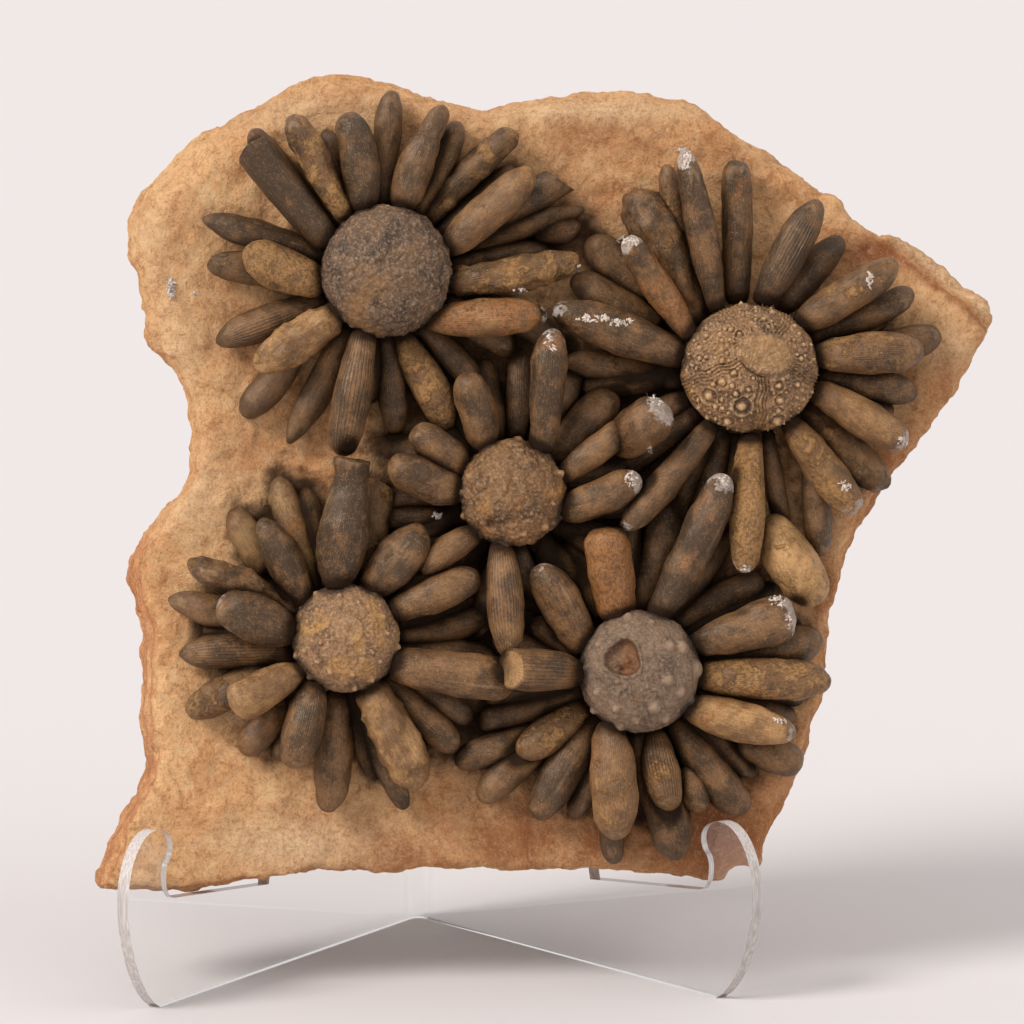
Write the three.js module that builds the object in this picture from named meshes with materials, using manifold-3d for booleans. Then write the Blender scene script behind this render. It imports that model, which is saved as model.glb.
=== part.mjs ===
// A slab of sandstone with five fossil club-spined sea urchins, standing on a clear acrylic easel.
//
// Millimetres, +Z up, with the front towards -Y. The origin is the foot of the easel's bend.
// The slab and its fossils are made in the slab's own frame and then leaned back together:
// there X runs across, Z runs up the front face and -Y is the height above it, called lift here.
import * as THREE from 'three';
import { mergeVertices } from 'three/addons/utils/BufferGeometryUtils.js';
import Module from 'manifold-3d';

const wasm = await Module();
wasm.setup();

// ---- Driving dimensions ----
const GAP = 0.3; // clearance kept between neighbouring pieces
const SLAB_LEAN = 9.5; // degrees
const SLAB_FOOT = [20.6, -98.8, 33.6]; // where the slab frame's origin stands
const SLAB_THICKNESS = 32;
const SLAB_MIDDLE = [2, 118]; // every edge point can be seen from here
const RIM_RAISE = 3; // how far the rounded upper left shoulder stands up

const TEST_BASE = 8; // lift of a test's flat underside
const TEST_WAIST = 16; // lift of its widest line
const TEST_DOME = 0.62; // height of the dome over its radius
const TEST_SIDES = 18;

const SPINE_SIDES = 8;
const BED_SIDES = 45;
const BED_HUB = 4; // how far a bed's hub passes the test
const BED_TOP = 7.4;
const PETAL_SPREAD = 13; // degrees from a petal's middle to its foot

const SHEET = 4; // thickness of the acrylic
const HALF_ANGLE = 36; // degrees between a wing and the way it faces
const BEND_RADIUS = 5; // to the middle of the sheet
const STAND_TOP = 136; // height at the bend
const FOOT_REACH = 144; // from where the wings would meet to the foot
const CURVE_STEPS = 9; // along each curve of the easel's outline and round its bend

// ---- Small tools ----
const radians = THREE.MathUtils.degToRad;

/** A point of the slab's frame from its place on the front face and its lift. */
const onFace = (across, up, lift) => new THREE.Vector3(across, -lift, up);

/** A closed solid from a first pole, rings that run anticlockwise as seen from beyond it, and a last pole. */
function loft(firstPole, rings, lastPole) {
  const count = rings[0].length;
  const points = [firstPole, ...rings.flat(), lastPole];
  const last = points.length - 1;
  const faces = [];
  for (let i = 0; i < count; i++) {
    const next = (i + 1) % count;
    faces.push(0, 1 + i, 1 + next);
    for (let r = 0; r < rings.length - 1; r++) {
      const near = 1 + r * count;
      const far = near + count;
      faces.push(near + i, far + i, far + next, near + i, far + next, near + next);
    }
    const end = last - count;
    faces.push(last, end + next, end + i);
  }
  const geometry = new THREE.BufferGeometry().setFromPoints(points);
  geometry.setIndex(faces);
  return geometry;
}

/** A manifold solid from a closed geometry. */
function solidOf(geometry) {
  const bare = geometry.clone();
  bare.deleteAttribute('normal');
  bare.deleteAttribute('uv');
  const merged = mergeVertices(bare, 1e-4);
  return new wasm.Manifold(new wasm.Mesh({
    numProp: 3,
    vertProperties: new Float32Array(merged.attributes.position.array),
    triVerts: new Uint32Array(merged.index.array),
  }));
}

/** The geometry of a solid's largest body, without the slivers that a cut may leave. */
function geometryOf(solid) {
  const body = solid.decompose().reduce((best, one) => (one.volume() > best.volume() ? one : best));
  const mesh = body.getMesh();
  const geometry = new THREE.BufferGeometry();
  geometry.setAttribute('position', new THREE.BufferAttribute(new Float32Array(mesh.vertProperties), 3));
  geometry.setIndex(new THREE.BufferAttribute(new Uint32Array(mesh.triVerts), 1));
  return geometry;
}

// ---- Sandstone slab ----
// Round the edge, clockwise from the top: across, up, inset of the front shoulder, depth of the widest line.
const SLAB_EDGE = [
  [-49, 244, 9, 12], [-41.5, 243, 9, 12], [-33, 240.5, 8, 11], [-18, 235.5, 7, 10], [-7.5, 233, 6, 9],
  [-1, 232, 6, 9], [4.5, 234, 6, 9], [22, 236.5, 7, 10], [44, 237.5, 7, 10], [59, 233.5, 7, 10],
  [69, 227.5, 6, 9], [86.5, 215.5, 5, 8], [97, 208, 4, 8], [104, 204, 3, 7], [108, 198.5, 3, 6],
  [116, 193, 6, 7], [127.5, 187, 10, 9], [143.5, 175, 12, 9], [150, 170.5, 10, 9], [149, 168.5, 8, 10],
  [152, 165, 7, 12], [146.5, 158, 6, 12], [138.5, 143.5, 5, 12], [123.5, 124, 5, 12], [114.5, 113, 5, 12],
  [105, 96, 4, 12], [101.5, 79.5, 4, 12], [99, 65, 4, 12], [97.5, 53, 4, 12], [94, 41, 4, 12],
  [90.5, 30.5, 5, 12], [85.5, 19, 6, 12], [80, 8, 6, 10], [78.5, 1.5, 5, 8], [72.5, 2, 4, 7],
  [70, 0.5, 3, 6], [68, -3, 3, 6], [63, -1.5, 3, 6], [47.5, 1, 3, 5], [25, 2, 3, 5], [-5, 2.5, 3, 5],
  [-30, 2.5, 3, 5], [-60.5, 2.5, 3, 5], [-72.5, 1, 4, 6], [-86, -2, 3, 5], [-109, -2, 3, 5],
  [-122.5, -1.5, 7, 8], [-117.5, 14, 11, 12], [-108, 30.5, 9, 14], [-107, 36, 8, 14], [-109, 48, 7, 14],
  [-108, 74, 7, 14], [-112, 92, 6, 13], [-111.5, 97, 6, 12], [-104.5, 107, 5, 11], [-97, 116, 5, 11],
  [-93.5, 124, 5, 11], [-92.5, 134, 5, 11], [-94, 144, 6, 11], [-98.5, 156.5, 7, 11], [-104, 161.5, 8, 12],
  [-104.5, 170, 8, 12], [-110, 188.5, 9, 12], [-111, 199.5, 10, 13], [-108, 207.5, 10, 13],
  [-90.5, 223.5, 10, 13], [-73, 233.5, 9, 12], [-59.5, 240.5, 9, 12],
];

// From the front's middle over the edge to the back: share of the way out, how much of the shoulder's
// inset is taken off, a further inset, how much of the raise and of the depth is applied.
const SLAB_RINGS = [
  { share: 0.4, inset: 1, further: 0, raise: 0, depth: 0 },
  { share: 0.78, inset: 1, further: 0, raise: 0.2, depth: 0 },
  { share: 1, inset: 1, further: 0, raise: 1, depth: 0 },
  { share: 1, inset: 0.35, further: 0, raise: 0.6, depth: 0.35 },
  { share: 1, inset: 0, further: 0, raise: 0, depth: 1 },
];
const BACK_RINGS = [
  { share: 1, further: 3, lift: 6 - SLAB_THICKNESS },
  { share: 1, further: 9, lift: -SLAB_THICKNESS },
  { share: 0.45, further: 9, lift: -SLAB_THICKNESS },
];

function slabGeometry() {
  const [middleAcross, middleUp] = SLAB_MIDDLE;
  const place = (row, ring, lift) => {
    const out = new THREE.Vector2(row[0] - middleAcross, row[1] - middleUp);
    const reach = ring.share * (out.length() - (ring.inset ?? 0) * row[2] - ring.further);
    out.setLength(reach);
    return onFace(middleAcross + out.x, middleUp + out.y, lift);
  };
  // The raise is full towards the upper left and fades to none across the slab.
  const raised = (row) => {
    const out = new THREE.Vector2(row[0] - middleAcross, row[1] - middleUp).normalize();
    return RIM_RAISE * Math.max(0, 0.8 * out.y - 0.6 * out.x);
  };
  const front = SLAB_RINGS.map((ring) => SLAB_EDGE.map(
    (row) => place(row, ring, ring.raise * raised(row) - ring.depth * row[3])));
  const back = BACK_RINGS.map((ring) => SLAB_EDGE.map((row) => place(row, ring, ring.lift)));
  return loft(
    onFace(middleAcross, middleUp, 0), [...front, ...back].map((ring) => ring.reverse()),
    onFace(middleAcross, middleUp, -SLAB_THICKNESS));
}

// ---- Sea urchins ----
// Angles are degrees anticlockwise from straight right, about the urchin's centre on the front face.
// A spine: angle of its base, angle, reach of its tip, width, lift of its base and tip, distance of
// its base if that isn't beside the test. A low spine, covered by the bed: angle and reach of its tip.
const URCHINS = [
  {
    name: 'upper_left', centre: [-34, 182.5], radius: 19.5, stretch: [1, 1],
    spines: [
      [151, 137, 53.5, 12, 12, 12], [126, 121, 54.5, 9.5, 13, 13], [109, 103, 49, 12, 14, 14],
      [75, 70, 52.5, 11, 13, 14], [22, 34, 53, 12, 14, 18], [351, 3, 57.5, 11, 13, 15],
      [313, 344, 49.5, 11.5, 14, 18], [249, 256, 56.5, 12, 14, 14], [221, 216, 48.5, 12, 14, 17],
      [189, 172, 43, 13, 13, 15],
    ],
    low: [
      [87, 54], [47, 57], [133, 58.5], [27, 59], [17, 63], [311, 51.5], [292, 52], [273, 48.5],
      [240, 58.5], [202, 55], [225, 60.5], [177, 53.5], [163, 57],
    ],
  },
  {
    name: 'upper_right', centre: [74, 152.5], radius: 19.8, stretch: [1.05, 0.96],
    spines: [
      [148, 133, 54, 9.5, 16, 19], [117, 106, 68.5, 9.5, 13, 15], [77, 67, 54.5, 11.5, 14, 16],
      [41, 35, 54.5, 11.5, 13, 15], [9, 5, 53, 12.5, 14, 15], [341, 334, 52.5, 11.5, 13, 15],
      [307, 307, 54, 11.5, 14, 15], [271, 268, 61, 11, 14, 16], [235, 231, 61, 9.5, 14, 17],
      [170, 163, 61.5, 13, 14, 18], [277, 286, 73.5, 15, 8.5, 13, 47.5],
    ],
    low: [
      [122, 63.5], [92, 62.5], [53, 49], [24, 55.5], [9, 60], [351, 52], [320, 55.5], [283, 50.5],
      [250, 47.5], [177, 54.5], [152, 59], [140, 61],
    ],
  },
  {
    name: 'centre', centre: [2.7, 116], radius: 16, stretch: [1, 1],
    spines: [
      [57, 76, 50, 11, 17, 21], [118, 111, 39, 11.5, 14, 16], [19, 30, 42.5, 9, 15, 18],
      [24, 29, 52, 15, 12, 25, 36], [343, 6, 38.5, 11.5, 16, 19], [257, 268, 49.5, 12, 16, 20],
      [179, 165, 38, 12.5, 15, 18], [151, 147, 35.5, 11, 13, 16], [226, 219, 36, 9, 15, 16],
    ],
    low: [[86, 43.5], [43, 44], [191, 39.5], [311, 39]],
  },
  {
    name: 'lower_left', centre: [-47.5, 73.5], radius: 16.2, stretch: [1, 1],
    spines: [
      [98, 87, 54, 15, 16, 20], [136, 124, 43.5, 11.5, 14, 16], [153, 153, 52, 11, 13, 15],
      [173, 164, 39.5, 14.5, 16, 19], [215, 210, 39.5, 12.5, 16, 19], [236, 247, 42, 12, 15, 17],
      [295, 296, 50, 14, 14, 16], [332, 345, 51.5, 14, 15, 18], [29, 24, 44, 11, 14, 16],
      [63, 54, 40, 14, 14, 17],
    ],
    low: [
      [76, 46.5], [112, 52], [130, 51], [167, 54], [185, 49.5], [205, 52], [228, 46], [264, 52.5],
      [289, 54.5], [314, 47.5], [9, 44.5],
    ],
  },
  {
    name: 'lower_right', centre: [40, 62.5], radius: 18.3, stretch: [1, 1],
    spines: [
      [71, 66, 64, 12.5, 16, 20], [110, 103, 44, 14, 14, 17], [154, 133, 44, 13, 14, 16],
      [180, 180, 40, 14, 17, 27], [242, 262, 50.5, 14, 14, 16], [324, 337, 50, 12.5, 16, 18],
      [355, 356, 57.5, 13, 14, 15], [25, 20, 49.5, 15, 15, 18],
    ],
    low: [
      [78, 51.5], [153, 35], [214, 44], [206, 61], [235, 53.5], [263, 58.5], [282, 58.5],
      [307, 53.5], [330, 58], [9, 57.5], [35, 47],
    ],
  },
];

/** The place at an angle and a distance from an urchin's centre. */
function around(urchin, angle, distance, lift) {
  const [across, up] = urchin.centre;
  const turn = radians(angle);
  return onFace(across + distance * Math.cos(turn), up + distance * Math.sin(turn), lift);
}

// Half outline of a test, from its flat underside up: share of the radius, share of the height there.
const TEST_PROFILE = [
  [0.72, 0, 0], [0.93, 0.45, 0], [1, 1, 0], [0.94, 1, 0.4], [0.76, 1, 0.72], [0.45, 1, 0.93],
];

function testGeometry(urchin, grow) {
  const rise = TEST_DOME * urchin.radius + grow;
  const profile = TEST_PROFILE.map(([out, below, above]) => new THREE.Vector2(
    out * (urchin.radius + grow),
    TEST_BASE - grow + below * (TEST_WAIST - TEST_BASE) + above * rise + below * grow));
  const low = profile[0].y;
  const high = TEST_WAIST + rise;
  const geometry = new THREE.LatheGeometry(
    [new THREE.Vector2(0, low), ...profile, new THREE.Vector2(0, high)], TEST_SIDES);
  geometry.scale(urchin.stretch[0], 1, urchin.stretch[1]);
  geometry.rotateX(Math.PI);
  geometry.translate(urchin.centre[0], 0, urchin.centre[1]);
  return geometry;
}

// Half outline of a club-shaped spine, from its neck to its tip: share of the radius, of the length.
const CLUB_PROFILE = [[0.56, 0], [0.86, 0.24], [1, 0.6], [0.84, 0.88]];

function spineGeometry(urchin, row, grow) {
  const [baseAngle, tipAngle, reach, width, baseLift, tipLift, distance] = row;
  const base = around(urchin, baseAngle, distance ?? urchin.radius + 1, baseLift);
  const tip = around(urchin, tipAngle, reach, tipLift);
  const along = tip.clone().sub(base);
  const length = along.length() + 2 * grow;
  const profile = CLUB_PROFILE.map(([out, on]) => new THREE.Vector2(out * width / 2 + grow, on * length));
  const geometry = new THREE.LatheGeometry(
    [new THREE.Vector2(0, 0), ...profile, new THREE.Vector2(0, length)], SPINE_SIDES);
  const turn = new THREE.Quaternion().setFromUnitVectors(new THREE.Vector3(0, 1, 0), along.normalize());
  geometry.applyQuaternion(turn);
  geometry.translate(...base.addScaledVector(along, -grow).toArray());
  return geometry;
}

/** How far an urchin's bed reaches: a petal over each low spine, stopped halfway to a neighbour. */
function bedReach(urchin, angle) {
  const hub = urchin.radius + BED_HUB;
  let reach = hub;
  for (const [tipAngle, tipReach] of urchin.low) {
    const off = Math.abs(((angle - tipAngle + 540) % 360) - 180);
    const swell = off < PETAL_SPREAD ? Math.cos((off / PETAL_SPREAD) * Math.PI / 2) : 0;
    reach = Math.max(reach, hub + (tipReach - hub) * swell);
  }
  for (const other of URCHINS.filter((one) => one !== urchin)) {
    const way = new THREE.Vector2(other.centre[0] - urchin.centre[0], other.centre[1] - urchin.centre[1]);
    const facing = Math.cos(radians(angle) - way.angle());
    const halfway = (way.length() + urchin.radius - other.radius) / 2 - GAP;
    if (facing > 0.05) reach = Math.min(reach, halfway / facing);
  }
  return reach;
}

/** The low solid that stands for the spines lying beneath: a star of petals with a hub. */
function bedGeometry(urchin) {
  const angles = Array.from({ length: BED_SIDES }, (_, i) => (i * 360) / BED_SIDES);
  const ring = (share, lift) => angles.map(
    (angle) => around(urchin, angle, share * bedReach(urchin, angle), lift));
  const pole = (lift) => around(urchin, 0, 0, lift);
  const rings = [
    ring(0.7, BED_TOP), ring(0.93, BED_TOP - 1.5), ring(1, BED_TOP - 4.5), ring(0.97, GAP),
  ];
  return loft(pole(BED_TOP), rings, pole(GAP));
}

// ---- Clear acrylic easel ----
// One sheet standing on edge, cut to a hooked outline and bent to a V with its point at the back.
// A wing's outline is drawn flat: x is the distance from where the two wings would meet, y the height.
function wingShape(restAt) {
  const wing = new THREE.Shape();
  wing.moveTo(BEND_RADIUS / Math.tan(radians(HALF_ANGLE)) - 0.5, 0);
  wing.lineTo(FOOT_REACH, 0);
  wing.bezierCurveTo(FOOT_REACH + 10, 5, FOOT_REACH + 16, 22, FOOT_REACH + 16, 34); // bowed front
  wing.bezierCurveTo(FOOT_REACH + 16, 44, FOOT_REACH + 10, 54, FOOT_REACH + 2, 54); // top of the hook
  wing.bezierCurveTo(FOOT_REACH - 4, 54, FOOT_REACH - 7, 51, FOOT_REACH - 7, 47.5); // its blunt tip
  wing.quadraticCurveTo(FOOT_REACH - 7, 45, FOOT_REACH - 4.5, 43); // notch behind the tip
  wing.bezierCurveTo(FOOT_REACH - 2.5, 41, FOOT_REACH - 3, 32, FOOT_REACH - 8, 31.8);
  wing.lineTo(restAt(24), 26.4); // ledge that the slab stands on
  wing.lineTo(restAt(STAND_TOP - 14), STAND_TOP - 14); // edge that it leans on
  wing.quadraticCurveTo(restAt(STAND_TOP), STAND_TOP - 1, restAt(STAND_TOP) - 12, STAND_TOP);
  wing.lineTo(BEND_RADIUS / Math.tan(radians(HALF_ANGLE)) - 0.5, STAND_TOP);
  wing.closePath();
  return wing;
}

/** How far forward on a wing the slab's back lies, at a height. */
function restingPlace(height) {
  const lean = radians(SLAB_LEAN);
  const back = SLAB_THICKNESS + 2 * GAP;
  const foot = [SLAB_FOOT[1] + back * Math.cos(lean), SLAB_FOOT[2] - back * Math.sin(lean)];
  const depth = foot[0] + (height - foot[1]) * Math.tan(lean);
  return (bendApex() - depth) / Math.cos(radians(HALF_ANGLE)) - SHEET / 2 * Math.tan(radians(HALF_ANGLE));
}

/** How far behind the bend the two wings' middle planes would meet. */
function bendApex() {
  return BEND_RADIUS / Math.sin(radians(HALF_ANGLE)) - BEND_RADIUS;
}

function easelGeometry() {
  const apex = bendApex();
  const flat = new THREE.ExtrudeGeometry(wingShape(restingPlace), {
    depth: SHEET, bevelEnabled: false, curveSegments: CURVE_STEPS,
  });
  flat.translate(0, 0, -SHEET / 2);
  flat.rotateX(Math.PI / 2);
  const wings = [1, -1].map((side) => {
    const wing = flat.clone();
    wing.rotateZ(radians(-90 + side * HALF_ANGLE));
    wing.translate(0, apex, 0);
    return solidOf(wing);
  });
  const arc = new THREE.Shape();
  const half = radians(90 - HALF_ANGLE);
  arc.absarc(0, 0, BEND_RADIUS + SHEET / 2, Math.PI / 2 - half, Math.PI / 2 + half, false);
  arc.absarc(0, 0, BEND_RADIUS - SHEET / 2, Math.PI / 2 + half, Math.PI / 2 - half, true);
  const bend = new THREE.ExtrudeGeometry(arc, {
    depth: STAND_TOP, bevelEnabled: false, curveSegments: CURVE_STEPS,
  });
  bend.translate(0, -BEND_RADIUS, 0);
  return geometryOf(solidOf(bend).add(wings[0]).add(wings[1]));
}

// ---- Assembly ----
const matter = (name, colour, roughness, more = {}) => Object.assign(
  new THREE.MeshStandardMaterial({ color: colour, roughness, metalness: 0 }), { name }, more);
const piece = (name, geometry, material) => {
  geometry.computeVertexNormals();
  const mesh = new THREE.Mesh(geometry, material);
  mesh.name = name;
  return mesh;
};

const plate = new THREE.Group();
plate.position.set(...SLAB_FOOT);
plate.rotation.x = -radians(SLAB_LEAN);
plate.add(piece('sandstone_slab', slabGeometry(), matter('sandstone', 0xb98a5e, 0.95)));

// Each piece is cut back from the ones placed before it, grown by the clearance, where they meet.
const placed = [solidOf(slabGeometry().translate(0, -GAP, 0))];
const fitted = (geometry, grown) => {
  let solid = solidOf(geometry);
  for (const other of placed) {
    if (solid.intersect(other).volume() > 1e-3) solid = solid.subtract(other);
  }
  if (grown) placed.push(solidOf(grown));
  return geometryOf(solid);
};

for (const urchin of URCHINS) {
  plate.add(piece(
    `${urchin.name}_test`, fitted(testGeometry(urchin, 0), testGeometry(urchin, GAP)),
    matter('fossil_test', 0x6e5a42, 0.8)));
}
for (const urchin of URCHINS) {
  urchin.spines.forEach((row, i) => {
    const name = `${urchin.name}_spine_${String(i + 1).padStart(2, '0')}`;
    plate.add(piece(
      name, fitted(spineGeometry(urchin, row, 0), spineGeometry(urchin, row, GAP)),
      matter('fossil_spine', 0x66553f, 0.75)));
  });
}
for (const urchin of URCHINS) {
  plate.add(piece(
    `${urchin.name}_low_spines`, fitted(bedGeometry(urchin)), matter('fossil_spine', 0x5a4a38, 0.8)));
}

const specimen = new THREE.Group();
specimen.add(plate);
specimen.add(piece(
  'acrylic_easel', easelGeometry(),
  matter('clear_acrylic', 0xf4f6f6, 0.05, { transparent: true, opacity: 0.25 })));

export default specimen;
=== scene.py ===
# Five fossil club-spined sea urchins on a slab of golden sandstone, standing on a clear acrylic easel.
# Metres, +Z up, with the front of the slab towards -Y and the foot of the easel's bend at the origin.
import math
import random

import bpy
import numpy as np
from mathutils import Matrix, Vector
from mathutils.bvhtree import BVHTree


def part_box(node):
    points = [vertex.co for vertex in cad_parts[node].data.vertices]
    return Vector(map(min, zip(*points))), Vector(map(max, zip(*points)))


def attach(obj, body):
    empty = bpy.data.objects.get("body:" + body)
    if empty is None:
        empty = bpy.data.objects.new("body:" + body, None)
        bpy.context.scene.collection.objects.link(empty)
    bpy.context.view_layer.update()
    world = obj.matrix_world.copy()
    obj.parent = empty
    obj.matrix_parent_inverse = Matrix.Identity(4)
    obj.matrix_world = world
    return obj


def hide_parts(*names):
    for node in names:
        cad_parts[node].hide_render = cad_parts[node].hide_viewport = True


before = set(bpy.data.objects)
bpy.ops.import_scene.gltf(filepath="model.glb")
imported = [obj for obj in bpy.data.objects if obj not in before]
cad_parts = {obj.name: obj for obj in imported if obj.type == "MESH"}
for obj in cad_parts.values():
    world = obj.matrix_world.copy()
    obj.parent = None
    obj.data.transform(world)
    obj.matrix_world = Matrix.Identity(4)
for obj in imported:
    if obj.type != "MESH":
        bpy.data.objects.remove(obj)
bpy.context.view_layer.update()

MM = 0.001

# ---- Camera ----
# It stands level with the middle of the slab and a little to its left, and looks slightly down,
# as one looks at a specimen on a shelf.
VIEW_AZIMUTH = math.radians(-4)
VIEW_ELEVATION = math.radians(9.5)
VIEW_DISTANCE = 2.0
VIEW_CENTRE = Vector((24.2, -80.6, 142.5)) * MM
VIEW_WIDTH = 0.3072
SENSOR = 36

camera = bpy.data.objects.new("camera", bpy.data.cameras.new("camera"))
bpy.context.scene.collection.objects.link(camera)
to_camera = Vector((
    math.sin(VIEW_AZIMUTH) * math.cos(VIEW_ELEVATION),
    -math.cos(VIEW_AZIMUTH) * math.cos(VIEW_ELEVATION),
    math.sin(VIEW_ELEVATION)))
camera.location = VIEW_CENTRE + to_camera * VIEW_DISTANCE
camera.rotation_mode = "QUATERNION"
camera.rotation_quaternion = (-to_camera).to_track_quat("-Z", "Y")
camera.data.sensor_width = SENSOR
camera.data.lens = SENSOR * VIEW_DISTANCE / VIEW_WIDTH
bpy.context.scene.camera = camera

# ---- Photographer's table ----
# A wide sheet of pale paper, flat under the easel, in the even light of a white room with a large soft
# light at the upper left and a weaker one at the right.
PAPER = (0.70, 0.669, 0.67, 1)
PAPER_SIZE = 40.0
ROOM_LIGHT = 0.72


def alone(piece):
    """Leaves only this piece selected and active."""
    bpy.ops.object.select_all(action="DESELECT")
    piece.select_set(True)
    bpy.context.view_layer.objects.active = piece


def node(tree, kind, sockets=None, **settings):
    """Adds a shader node, with values or other nodes' outputs in its sockets."""
    made = tree.nodes.new("ShaderNode" + kind)
    for name, value in settings.items():
        setattr(made, name, value)
    for name, value in (sockets or {}).items():
        if isinstance(value, bpy.types.NodeSocket):
            tree.links.new(value, made.inputs[name])
        else:
            made.inputs[name].default_value = value
    return made


def finish_material(name):
    """A new material with its tree and its shader."""
    material = bpy.data.materials.new(name)
    material.use_nodes = True
    return material, material.node_tree, material.node_tree.nodes["Principled BSDF"]


def coat(piece, material):
    piece.data.materials.clear()
    piece.data.materials.append(material)


bpy.ops.mesh.primitive_plane_add(size=PAPER_SIZE)
table = bpy.context.object
table.name = "paper_floor"
paper, _, paper_shader = finish_material("paper")
paper_shader.inputs["Base Color"].default_value = PAPER
paper_shader.inputs["Roughness"].default_value = 0.9
coat(table, paper)


def soft_light(name, place, spread, strength, colour):
    """Soft light that falls on everything alike, from the side where the place is."""
    light = bpy.data.objects.new(name, bpy.data.lights.new(name, "SUN"))
    bpy.context.scene.collection.objects.link(light)
    light.data.angle = math.radians(spread)
    light.data.energy = strength
    light.data.color = colour
    light.location = place
    light.rotation_mode = "QUATERNION"
    light.rotation_quaternion = (VIEW_CENTRE - Vector(place)).to_track_quat("-Z", "Y")


soft_light("key_light", (-2.3, -1.5, 2.3), 24, 2.35, (1, 0.965, 0.925))
soft_light("fill_light", (1.7, -1.2, 1.5), 40, 0.4, (1, 0.98, 0.96))
room = bpy.data.worlds.new("room")
room.use_nodes = True
room.node_tree.nodes["Background"].inputs["Color"].default_value = (1, 0.965, 0.955, 1)
room.node_tree.nodes["Background"].inputs["Strength"].default_value = ROOM_LIGHT
bpy.context.scene.world = room
bpy.context.scene.view_settings.view_transform = "Standard"

# ---- Lie of the fossils ----
# The slab leans back on its easel, and five urchins lie on its front, each a round test in a ring of
# club spines. Clubs of the upper side rest on those of the underside, which lie flat on the rock.
SLAB_LEAN = math.radians(9.5)
SLAB_FOOT = Vector((20.6, -98.8, 33.6)) * MM
LEANED = Matrix.Translation(SLAB_FOOT) @ Matrix.Rotation(-SLAB_LEAN, 4, "X")
URCHINS = ("upper_left", "upper_right", "centre", "lower_left", "lower_right")


def on_slab(across, up, lift=0.0):
    """A point of the upright slab, before it is leaned back: lift is the height above its front."""
    return Vector((across, -lift, up))


def test_centre(urchin):
    """The middle of a test on the slab's front, from its solid."""
    corners = [LEANED.inverted() @ v.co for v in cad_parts[f"{urchin}_test"].data.vertices]
    middle = sum(corners, Vector()) / len(corners)
    return on_slab(middle.x, middle.z)


centres = {urchin: test_centre(urchin) for urchin in URCHINS}


def about(urchin, angle, distance, lift):
    """The place at an angle and a distance from an urchin's middle."""
    turn = math.radians(angle)
    return centres[urchin] + on_slab(
        distance * MM * math.cos(turn), distance * MM * math.sin(turn), lift * MM)


def beside_test(urchin):
    """The distance from a test's middle at which its spines begin, in millimetres."""
    low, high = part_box(f"{urchin}_test")
    return (high.x - low.x) / 2 / MM + 1


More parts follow.
